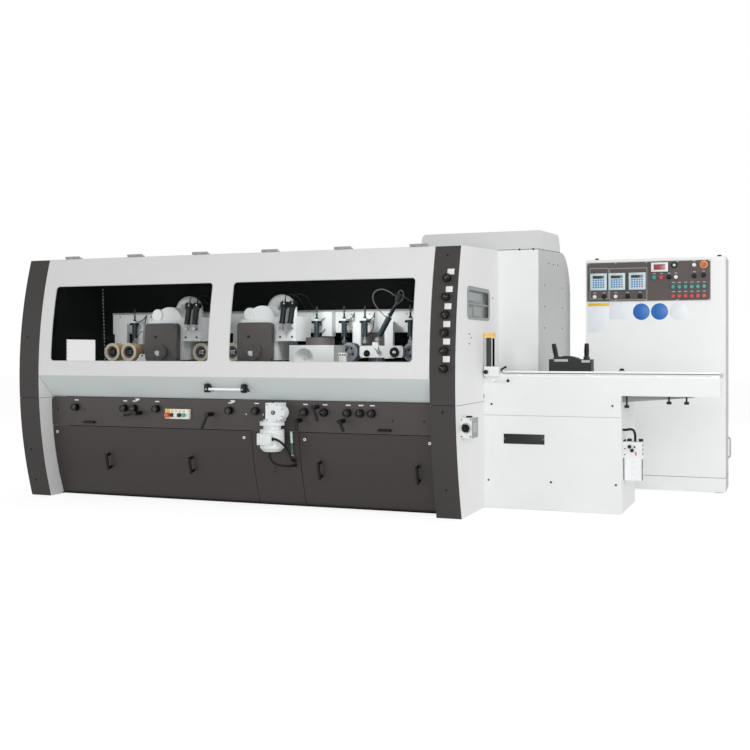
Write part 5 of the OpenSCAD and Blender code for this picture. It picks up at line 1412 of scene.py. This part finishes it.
    @staticmethod
    def _duct(x: float) -> Test:
        """Makes the test for the duct bend of a top unit.

        Args:
            x: Middle of the unit.

        Returns:
            The test on a face's middle and normal.
        """
        return lambda c, n: (
            750 < c.y < 850
            and c.z > 1331
            and -20 < c.x - x < 240
            and math.hypot(c.x - x - 13.0, c.z - 1300.0) > 114.5
        )

    def _rim(self, x: float) -> Test:
        """Makes the test for the front rim of a roller's tyre."""
        return lambda c, n: n.y < -0.7 and math.hypot(c.x - x, c.z - self.level) > self.core

    def _core(self, x: float) -> Test:
        """Makes the test for a roller's hub and shaft."""
        return lambda c, n: math.hypot(c.x - x, c.z - self.level) < self.core or c.y > 801.0


@dataclass
class Infeed(SubAssembly):
    """Infeed base, table, guides and lubricator.

    Attributes:
        front: Y of the base's front face.
        screws: Places of the base's screws, X and Z.
        grips: X and lean in degrees of the guide block's grips.
        sockets: X, Z and radius of the lubricator's sockets.
        studs: X of the knobs below the table.
    """

    front: float = 699.0
    screws: tuple[Point, ...] = ((3393, 714), (3372, 194), (3803, 196), (4211, 715), (4233, 196))
    grips: tuple[Point, ...] = ((3787.6, -12.0), (3991.3, 1.0))
    sockets: tuple[Point, ...] = (
        (4308.0, 443.0, 12.0), (4324.0, 418.0, 12.0), (4340.0, 441.0, 6.0), (4277.0, 429.0, 4.0),
        (4277.0, 389.0, 4.0),
    )
    studs: Point = (4301.7, 4570.2, 4679.8)

    def build(self) -> None:
        """Makes screws, seam, plate, scale and the fittings of guide and lubricator."""
        screws = Solid("infeed_screws").of(PLASTIC)
        for x, z in self.screws:
            screws.screw((x, self.front + 0.2, z), FRONT, 7.0, 4.0)
        screws.piece(self.body, "black_plastic")
        plate = Solid("infeed_plate").of(SLATE)
        plate.block((3618.5, self.front - 0.6, 480.0), (281.0, 1.6, 68.0), 0.5)
        plate.of(ZINC)
        for x in (3486.0, 3751.0):
            plate.screw((x, self.front - 1.2, 480.0), FRONT, 3.5, 2.0)
        plate.piece(self.body, "dark_paint")
        seams = Solid("infeed_seams").of(FAINT)
        seams.seam((3804.5, self.front - 0.1, 639.0), (918.0, 0.9, 3.0))
        seams.piece(self.body, "dark_paint")
        self._scale()
        self._guide()
        self._lubricator()

    def _scale(self) -> None:
        """Makes the scale on the stop's post, with a long mark at every fifth step."""
        scale = Solid("stop_scale").of(FROST)
        scale.block((3353.5, 678.0, 1069.0), (19.0, 3.0, 195.6), 0.5)
        scale.of(SEAM)
        for i in range(19):
            length = 7.0 if i % 5 == 0 else 4.0
            scale.block((3348.0, 676.3, 978.0 + 10.0 * i), (length, 0.6, 1.2), 0.1)
        scale.of(ZINC)
        for x in (3354.0, 3418.0):
            scale.screw((x, 669.2, 1185.0), FRONT, 4.0, 3.0)
        scale.piece(self.body, "white_plastic")

    def _guide(self) -> None:
        """Makes the plates and the ridged sleeves of the guide block."""
        trim = Solid("guide_trim").of(LINE)
        trim.block((3826.0, 924.6, 1012.0), (96.0, 1.6, 17.0), 0.5)
        trim.block((3996.0, 924.6, 1006.0), (58.0, 1.6, 17.0), 0.5)
        trim.of(PLASTIC)
        for x, lean in self.grips:
            way = leaning(math.radians(lean))
            foot = Vector((x, 980.2, 1014.0))
            for i in range(7):
                outer = 18.6 - 0.5 * abs(i - 3)
                trim.ring(foot + (30.0 + 12.0 * i) * way, way, 11.0, outer, 6.0)
        trim.piece(self.body, "black_plastic")

    def _lubricator(self) -> None:
        """Makes sockets, marks and bracket of the lubricator."""
        trim = Solid("lubricator_trim").of(PLASTIC)
        for x, z, radius in self.sockets:
            trim.knob((x, 800.2, z), FRONT, radius, 1.2 * radius)
        for z in (452.0, 424.0, 396.0):
            trim.block((4391.6, 816.0, z), (4.0, 26.0, 16.0), 1.0)
        trim.block((4270.0, 850.0, 480.0), (6.0, 112.0, 10.0), 1.0)
        trim.block((4270.0, 850.0, 361.0), (6.0, 112.0, 8.0), 1.0)
        # dark strips at the tank's edges stand for the shadow gaps beside it (painted shadow)
        for x in (4270.6, 4389.6):
            trim.block((x, 806.0, 291.0), (4.4, 8.0, 140.0), 0.8)
        trim.of(RED).block((4349.0, 799.8, 397.0), (9.0, 1.4, 24.0), 0.4)
        trim.of(ZINC)
        for z in (260.0, 300.0, 340.0):
            trim.block((4330.0, 804.8, z), (18.0, 1.0, 1.6), 0.2)
        trim.piece(self.body, "black_plastic")

    def dress(self) -> None:
        """Paints the infeed."""
        coat("infeed_base", WHITE)
        coat(
            "infeed_table",
            WHITE,
            # dark band painted on the rail as its reflection
            (REFLECTION_BAND, self._reflection_band),
            # the table's chrome rail painted near-white as its reflection
            (WHITE_AND_REFLECTION, within(ANY, (670, 698.85), (900, 945))),
            # the table plate's steel front edge painted white as a highlight
            (LIT_WHITE, lambda c, n: c.z > 901.9 and n.y < -0.9 and c.y < 705),
            (GROUND, lambda c, n: c.z > 901.9),
            # the bracket under the beam painted grey as its shade
            (SHADE, within((4260, 4730), (740, 1060), (735, 781.95))),
        )
        coat(
            "infeed_guides",
            PLASTIC,
            (STRAW, within((3340, 3430), (650, 690), (1166.9, 1210))),
            (FROST, within((3395, 3410), (665, 700), (971.1, 1167))),
            # the stop's post painted in the dark column paint as the shade on it in the slot
            # (painted shade)
            (COLUMN, within((3360, 3394), (665, 700), (971.1, 1167))),
            (CASTING, within((3389, 3502), (670, 706), (860, 890))),
            (CASTING, within((3340, 3460), (653, 700), (904, 971.05))),
            (FENCE, within((3735, 4036), (925, 1045), (927, 1044))),
            (IVORY, within((4200, 4260), (970, 1030), (927, 942.0))),
            (LINE, self._stud),
        )
        tank = within(ANY, ANY, (200, 365.9))
        cap = within(ANY, ANY, (474.1, 500))
        coat("lubricator", WHITE, (TANK, tank), (PLASTIC, cap))

    @staticmethod
    def _reflection_band(c: Vector, n: Vector) -> bool:
        """Tells the dark band painted along the table's front rail as its reflection."""
        return 670 < c.y < 698.85 and 922 < c.z < 945 and -0.5 < n.z < 0.08 and n.y < 0.0

    def _stud(self, c: Vector, n: Vector) -> bool:
        """Tells the studs of the knobs below the table."""
        upright = 736 < c.z < 781.95 and abs(n.z) < 0.5
        return upright and any(math.hypot(c.x - x, c.y - 716.0) < 8.0 for x in self.studs)


@dataclass
class Cabinet(SubAssembly):
    """Control cabinet with its panel and the isolator on the casing.

    Attributes:
        corner: Lowest X and Z of the panel.
        size: Width and height of the panel.
        front: Y of the panel's face.
        keypads: Places of the keypads' left sides as shares of the width.
        columns: Places of the button columns as shares of the width.
        rows: Heights of the plates over the two button rows, as shares.
        buttons: Places of the single buttons, as shares of width and height.
        meter_dial: Place of the dial beside the meter.
        dials: Places of the other dials.
        frames: Corners and line widths of the outlines within the panel.
        handle: Middle line of the side handle.
    """

    corner: Point = (3810.0, 1461.0)
    size: Point = (934.0, 309.0)
    front: float = 2044.0
    keypads: Point = (0.0308, 0.1818, 0.3479)
    columns: tuple[float, ...] = tuple(0.7073 + 0.0487 * i for i in range(6))
    rows: Point = (0.455, 0.228)
    buttons: tuple[Point, ...] = (
        (0.8721, 0.8764), (0.5541, 0.588), (0.6122, 0.588), (0.7288, 0.588), (0.0684, 0.132),
        (0.2418, 0.132),
    )
    meter_dial: Point = (0.7153, 0.8828)
    dials: tuple[Point, ...] = (
        (0.6724, 0.588), (0.8721, 0.6062), (0.9444, 0.6201), (0.1443, 0.132), (0.3394, 0.132),
        (0.4396, 0.132),
    )
    frames: tuple[tuple[Point, Point, float], ...] = (
        ((3834, 1484), (3979, 1726), 3.0),
        ((3987, 1473), (4274, 1721), 3.0),
    )
    handle: tuple[Point, ...] = (
        (4851, 242), (4862, 244), (4868, 262), (4868, 318), (4868, 376), (4862, 394), (4851, 396),
    )

    def spot(self, u: float, v: float, out: float = 0.0) -> Vector:
        """Gives a point on the panel."""
        x = self.corner[0] + u * self.size[0]
        return Vector((x, self.front - out, self.corner[1] + v * self.size[1]))

    def build(self) -> None:
        """Makes displays, keys, plates and the cabinet's fittings."""
        self._displays()
        self._plates()
        self._signs()
        self._fittings()
        self._isolator()

    def _displays(self) -> None:
        """Makes the keypads' and the meter's faces."""
        out = 12.6
        trim = Solid("panel_displays")
        for number, start in enumerate(self.keypads):
            middle = self.spot(start + 0.07, 0.5079, out)
            trim.of(KEYPAD).block(middle, (128.0, 1.2, 132.0), 0.4)
            trim.of(SCREEN).block(middle + Vector((0.0, -0.7, 36.0)), (92.0, 1.2, 22.0), 0.4)
            for row in range(4):
                for col in range(5):
                    spot = middle + Vector((-38.0 + 19.0 * col, -0.9, 12.0 - 18.0 * row))
                    trim.of(RED if (row, col) == (3, 4) else KEY)
                    trim.block(spot, (13.0, 1.6, 12.0), 0.5)
            strip = middle + Vector((-30.0 + 8.0 * number, -0.7, 56.0))
            trim.of(LINE).block(strip, (26.0, 1.0, 5.0), 0.3)
        meter = self.spot(0.598, 0.8443, out)
        trim.of(IVORY).block(meter, (127.0, 1.2, 71.0), 0.4)
        trim.of(METER).block(meter + Vector((0.0, -0.7, 0.0)), (86.0, 1.2, 42.0), 0.4)
        trim.piece(self.body, "panel_paint")

    def _plates(self) -> None:
        """Makes the plain plates, bezels, screws and outlines of the panel."""
        trim = Solid("panel_plates").of(LINE)
        places = [(u, v) for v in self.rows for u in self.columns]
        places += [(u, v + 0.1) for u, v in self.buttons + self.dials]
        for u, v in places:
            trim.block(self.spot(u, v, 0.4), (22.0, 1.0, 6.0), 0.3)
        trim.of(YELLOW).ring(self.spot(0.9457, 0.8824, -0.2), FRONT, 21.5, 29.0, 2.4)
        trim.of(PLASTIC).ring(self.spot(*self.meter_dial, -0.2), FRONT, 14.0, 25.0, 8.0)
        trim.of(KEYPAD).knob(self.spot(*self.meter_dial, 15.1), FRONT, 11.0, 3.0)
        trim.of(PLASTIC)
        for u, v in self.dials:
            trim.ring(self.spot(u, v, -0.2), FRONT, 13.4, 19.0, 5.0)
            trim.block(self.spot(u, v, 20.0), (7.0, 10.0, 24.0), 2.0)
        trim.of(ZINC)
        for u in (0.01, 0.24, 0.49, 0.74, 0.99):
            for v in (0.02, 0.98):
                trim.screw(self.spot(u, v, -0.2), FRONT, 6.0, 3.0)
        trim.of(LINE)
        far = (self.corner[0] + self.size[0], self.corner[1] + self.size[1])
        for (x0, z0), (x1, z1), edge in ((self.corner, far, 4.0), *self.frames):
            outer = rounded((x0, z0), (x1, z1), 6.0, 2)
            inner = rounded((x0 + edge, z0 + edge), (x1 - edge, z1 - edge), 3.0, 2)
            trim.rim(outer, inner, -0.6, 0.1, lambda u, v, d: Vector((u, self.front + d, v)))
        trim.piece(self.body, "panel_paint")

    def _signs(self) -> None:
        """Makes the plain sheets, discs and strip below the panel."""
        disc, thick = 2050.2, 1.4
        signs = Solid("cabinet_plates").of(SHEET)
        signs.block((3901.0, 2049.6, 1337.0), (164.0, 1.2, 230.0), 0.4)
        signs.block((4073.0, 2049.6, 1389.0), (176.0, 1.2, 128.0), 0.4)
        signs.of(SIGN)
        for x in (4230.0, 4367.0):
            signs.knob((x, disc, 1381.0), FRONT, 64.0, thick)
        signs.of(SHEET).knob((4509.0, disc, 1380.0), FRONT, 66.0, thick)
        signs.of(YELLOW).block((3901.0, 2048.9, 1440.0), (164.0, 0.8, 22.0), 0.2)
        signs.piece(self.body, "white_plastic")

    def _fittings(self) -> None:
        """Makes the cabinet's seams, lifting bolts and side handle."""
        trim = Solid("cabinet_fittings").of(SEAM)
        trim.seam((4327.0, 2050.1, 116.0), (1046.0, 0.9, 3.0))
        trim.seam((4852.1, 2260.0, 116.0), (0.9, 416.0, 3.0))
        trim.of(PLASTIC)
        for x in (3879.0, 4803.0):
            trim.knob((x, 2110.0, 1791.8), UP, 16.0, 16.0)
        trim.of(LINE).tube([(x, 2420.0, z) for x, z in self.handle], 7.0)
        trim.piece(self.body, "black_plastic")

    def _isolator(self) -> None:
        """Makes the isolator's screws, gland, dial ring and side ribs."""
        middle, front = 3379.5, 119.2
        trim = Solid("isolator_trim").of(PLASTIC)
        for x in (3351.0, 3408.0):
            for z in (533.0, 641.0):
                trim.screw((x, front, z), FRONT, 4.5, 2.4)
        gland = [(0, 0), (20, 0), (20, 8), (17, 11), (0, 11)]
        trim.lathe((middle, 190.0, 650.8), UP, gland, 28)
        trim.of(ZINC).ring((middle, front, 587.0), FRONT, 29.0, 34.0, 2.0)
        trim.of(LINE)
        for z in (563.0, 575.0, 587.0, 599.0, 611.0):
            trim.block((3417.2, 192.0, z), (1.4, 80.0, 6.0), 0.4)
        trim.piece(self.body, "black_plastic")

    def dress(self) -> None:
        """Gives cabinet, panel and buttons their finishes."""
        # The cabinet's front is painted a lighter white to make up for the light it lacks (painted
        # light), and its right side darker (painted shade).
        coat("control_cabinet", LIT_WHITE, (SHADED_SIDE, lambda c, n: n.x > 0.9 and c.x > 4800))
        coat(
            "control_stations",
            PANEL,
            (CREAM, within((1150, 1360), (0, 300), (590, 670))),
            # the isolator's right side painted grey as its shade
            (SHADE, lambda c, n: n.x > 0.9 and 3400 < c.x < 3425 and c.y < 320),
            (IVORY, within((3341, 3420), (100, 300), (500, 660))),
            (PLASTIC, lambda c, n: c.y < 2043.5 and c.x > 3700),
        )
        red = lambda c, n: (c.z < 1515 and c.x > 4440) or abs(c.x - 4381.8) < 16
        coat("panel_buttons", GREEN, (RED, red), (IVORY, self._white_button))
        coat("emergency_stop", RED)
        plate = lambda c, n: 107.6 < c.y < 119 and n.y > -0.5
        coat("isolator_handle", PLASTIC, (LINE, plate))

    @staticmethod
    def _white_button(c: Vector, n: Vector) -> bool:
        """Tells the white buttons of the panel."""
        upper_right = abs(c.x - 4490.7) < 16 and c.z > 1610
        return c.z > 1710 or (c.z < 1525 and c.x < 4100) or upper_right


@dataclass
class Studio:
    """Floor, world, lamps and camera.

    Attributes:
        eye: Place of the camera in metres.
        turn: Turn of the camera about Z in degrees.
        lens: Focal length in millimetres.
        rise: Upward shift of the picture.
        sky: Strength of the sky for the object.
        lamps: Name, place, goal, power and size of the studio's lamps.
        chamber: Name, X and power of the small lamps in the chamber.
    """

    eye: Point = (2.8381, -7.69076, 1.0812)
    turn: float = 20.92
    lens: float = 51.68
    rise: float = -0.0328
    sky: float = 0.455
    lamps: tuple[tuple[str, Point, Point, float, float], ...] = (
        ("key", (3.6, -8.6, 1.9), (0.2, -0.4, 0.9), 222.0, 4.0),
        ("side", (7.6, -2.6, 2.2), (0.9, -0.5, 1.0), 133.0, 3.0),
        ("left", (-5.0, -7.5, 1.1), (-0.8, -0.4, 0.9), 70.0, 3.0),
        ("corner", (2.6, -3.2, 2.3), (1.05, -0.14, 1.3), 5.0, 0.9),
        ("top", (0.4, 0.4, 6.5), (0.2, 0.3, 1.0), 28.0, 4.0),
        ("back", (-0.6, 8.5, 2.8), (-0.4, 0.6, 0.9), 190.0, 4.0),
    )
    chamber: tuple[tuple[str, float, float], ...] = (
        ("left_chamber", -1.96, 2.7),
        ("middle_chamber", -0.86, 0.8),
        ("right_chamber", -0.14, 5.9),
    )

    def build(self) -> None:
        """Sets floor, world, lamps and camera."""
        self._floor()
        self._world()
        for lamp in self.lamps:
            self._lamp(*lamp)
        for name, x, power in self.chamber:
            self._lamp(name, (x, -0.92, 1.61), (x, -0.35, 1.1), power, 0.24)
        self._camera()

    def _camera(self) -> None:
        """Sets the camera of the photograph and the plain view transform."""
        view = bpy.data.cameras.new("view")
        view.sensor_width = 36.0
        view.lens = self.lens
        view.shift_y = self.rise
        view.dof.use_dof = False
        camera = bpy.data.objects.new("view", view)
        camera.location = self.eye
        camera.rotation_euler = (math.radians(90.0), 0.0, math.radians(self.turn))
        scene = bpy.context.scene
        scene.collection.objects.link(camera)
        scene.camera = camera
        scene.view_settings.view_transform = "Standard"

    def _floor(self) -> None:
        """Lays the pale floor that keeps the shadow."""
        mesh = bpy.data.meshes.new("floor")
        shape = bmesh.new()
        bmesh.ops.create_grid(shape, x_segments=2, y_segments=2, size=30.0)
        shape.to_mesh(mesh)
        shape.free()
        paint = bpy.data.materials.new("studio_floor")
        paint.use_nodes = True
        tree = paint.node_tree
        link = tree.links.new
        shader = tree.nodes["Principled BSDF"]
        plain = {"Base Color": (0.82, 0.82, 0.82, 1.0), "Roughness": 0.9, "Specular IOR Level": 0.1}
        set_inputs(shader, plain)
        shade = add_node(tree, "ShaderNodeBsdfDiffuse", Color=(0.30, 0.30, 0.30, 1.0))
        glow = add_node(tree, "ShaderNodeEmission", Strength=0.84)
        seen = add_node(tree, "ShaderNodeAddShader")
        link(shade.outputs["BSDF"], seen.inputs[0])
        link(glow.outputs["Emission"], seen.inputs[1])
        self._choose(tree, shader.outputs["BSDF"], seen.outputs["Shader"], "Material Output")
        mesh.materials.append(paint)
        floor = bpy.data.objects.new("floor", mesh)
        floor.location.z = -0.0006
        bpy.context.scene.collection.objects.link(floor)

    def _world(self) -> None:
        """Sets a white sky that lights the object softly."""
        world = bpy.data.worlds.new("studio")
        bpy.context.scene.world = world
        world.use_nodes = True
        tree = world.node_tree
        full = (1.0, 1.0, 1.0, 1.0)
        soft = tree.nodes["Background"]
        set_inputs(soft, {"Color": full, "Strength": self.sky})
        white = add_node(tree, "ShaderNodeBackground", Color=full, Strength=1.0)
        self._choose(
            tree, soft.outputs["Background"], white.outputs["Background"], "World Output"
        )

    @staticmethod
    def _choose(
        tree: bpy.types.NodeTree,
        lit: bpy.types.NodeSocket,
        seen: bpy.types.NodeSocket,
        output: str,
    ) -> None:
        """Shows one shader to camera, glossy and transmission rays, another to the rest.

        Args:
            tree: Node tree of the floor or the sky.
            lit: Shader that lights the object.
            seen: Shader that is seen as the white background.
            output: Name of the tree's output node.
        """
        path = add_node(tree, "ShaderNodeLightPath")
        share = path.outputs["Is Camera Ray"]
        for kind in ("Is Glossy Ray", "Is Transmission Ray"):
            either = add_node(tree, "ShaderNodeMath")
            either.operation = "MAXIMUM"
            tree.links.new(share, either.inputs[0])
            tree.links.new(path.outputs[kind], either.inputs[1])
            share = either.outputs["Value"]
        mix = add_node(tree, "ShaderNodeMixShader")
        for i, socket in enumerate((share, lit, seen)):
            tree.links.new(socket, mix.inputs[i])
        tree.links.new(mix.outputs["Shader"], tree.nodes[output].inputs["Surface"])

    def _lamp(self, name: str, spot: Point, goal: Point, power: float, size: float) -> None:
        """Hangs a soft lamp.

        Args:
            name: Name of the lamp.
            spot: Its place in metres.
            goal: Point it faces.
            power: Power in watts.
            size: Side of its face in metres.
        """
        light = bpy.data.lights.new(name, "AREA")
        light.energy = power
        light.size = size
        lamp = bpy.data.objects.new(name, light)
        lamp.location = spot
        lamp.rotation_euler = (Vector(goal) - Vector(spot)).to_track_quat("-Z", "Y").to_euler()
        bpy.context.scene.collection.objects.link(lamp)


LEADS: tuple[Route, ...] = (
    (
        (2078, -14, 489), (2100, -14, 489), (2126, 2, 473), (2147, 24, 446), (2158, 52, 412),
        (2160, 84, 378), (2155, 118, 352), (2149, 148, 336), (2146, 166, 331), (2146, 180, 330),
    ),
    (
        (2020, 60, 399.6), (2020, 60, 380), (2024, 62, 356), (2040, 70, 326), (2068, 84, 308),
        (2100, 104, 300), (2126, 130, 297), (2141, 158, 296), (2145, 174, 296), (2146, 187, 296),
    ),
    (
        (4267.8, 770, 556), (4290, 770, 556), (4316, 776, 560), (4334, 790, 552), (4341, 808, 530),
        (4341, 824, 506), (4340, 834, 490), (4340, 834, 474.4),
    ),
)

LOOPS: tuple[Route, ...] = (
    (
        (2629, 684, 1315), (2590, 684, 1352), (2548, 686, 1400), (2527, 688, 1445),
        (2535, 690, 1494), (2585, 690, 1516), (2638, 690, 1503), (2682, 688, 1475),
    ),
    (
        (2722, 676, 1462), (2728, 668, 1492), (2746, 668, 1504), (2764, 670, 1482),
        (2756, 674, 1442), (2714, 684, 1408),
    ),
    (
        (2760, 672, 1462), (2791, 690, 1441), (2829, 740, 1419), (2850, 900, 1398),
        (2858, 960, 1387),
    ),
)


def save_sizes() -> None:
    """Updates the view layer."""
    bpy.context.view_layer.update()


def main() -> None:
    """Builds and dresses every sub-assembly in order."""
    logging.basicConfig(level=logging.INFO, format="%(name)s: %(message)s")
    groups: list[SubAssembly] = [
        Casing(),
        RearHousing(),
        Hood(),
        FrontRail(),
        Doors(),
        Gearmotor(routes=LEADS),
        Chamber(loops=LOOPS),
        Infeed(),
        Cabinet(),
    ]
    for group in groups:
        group.dress()
        known = set(bpy.data.objects.keys())
        group.build()
        for name in bpy.data.objects.keys():
            if name not in known:
                LOG.info("%s: %s", type(group).__name__, name)
    save_sizes()
    Studio().build()


if __name__ == "__main__":
    main()
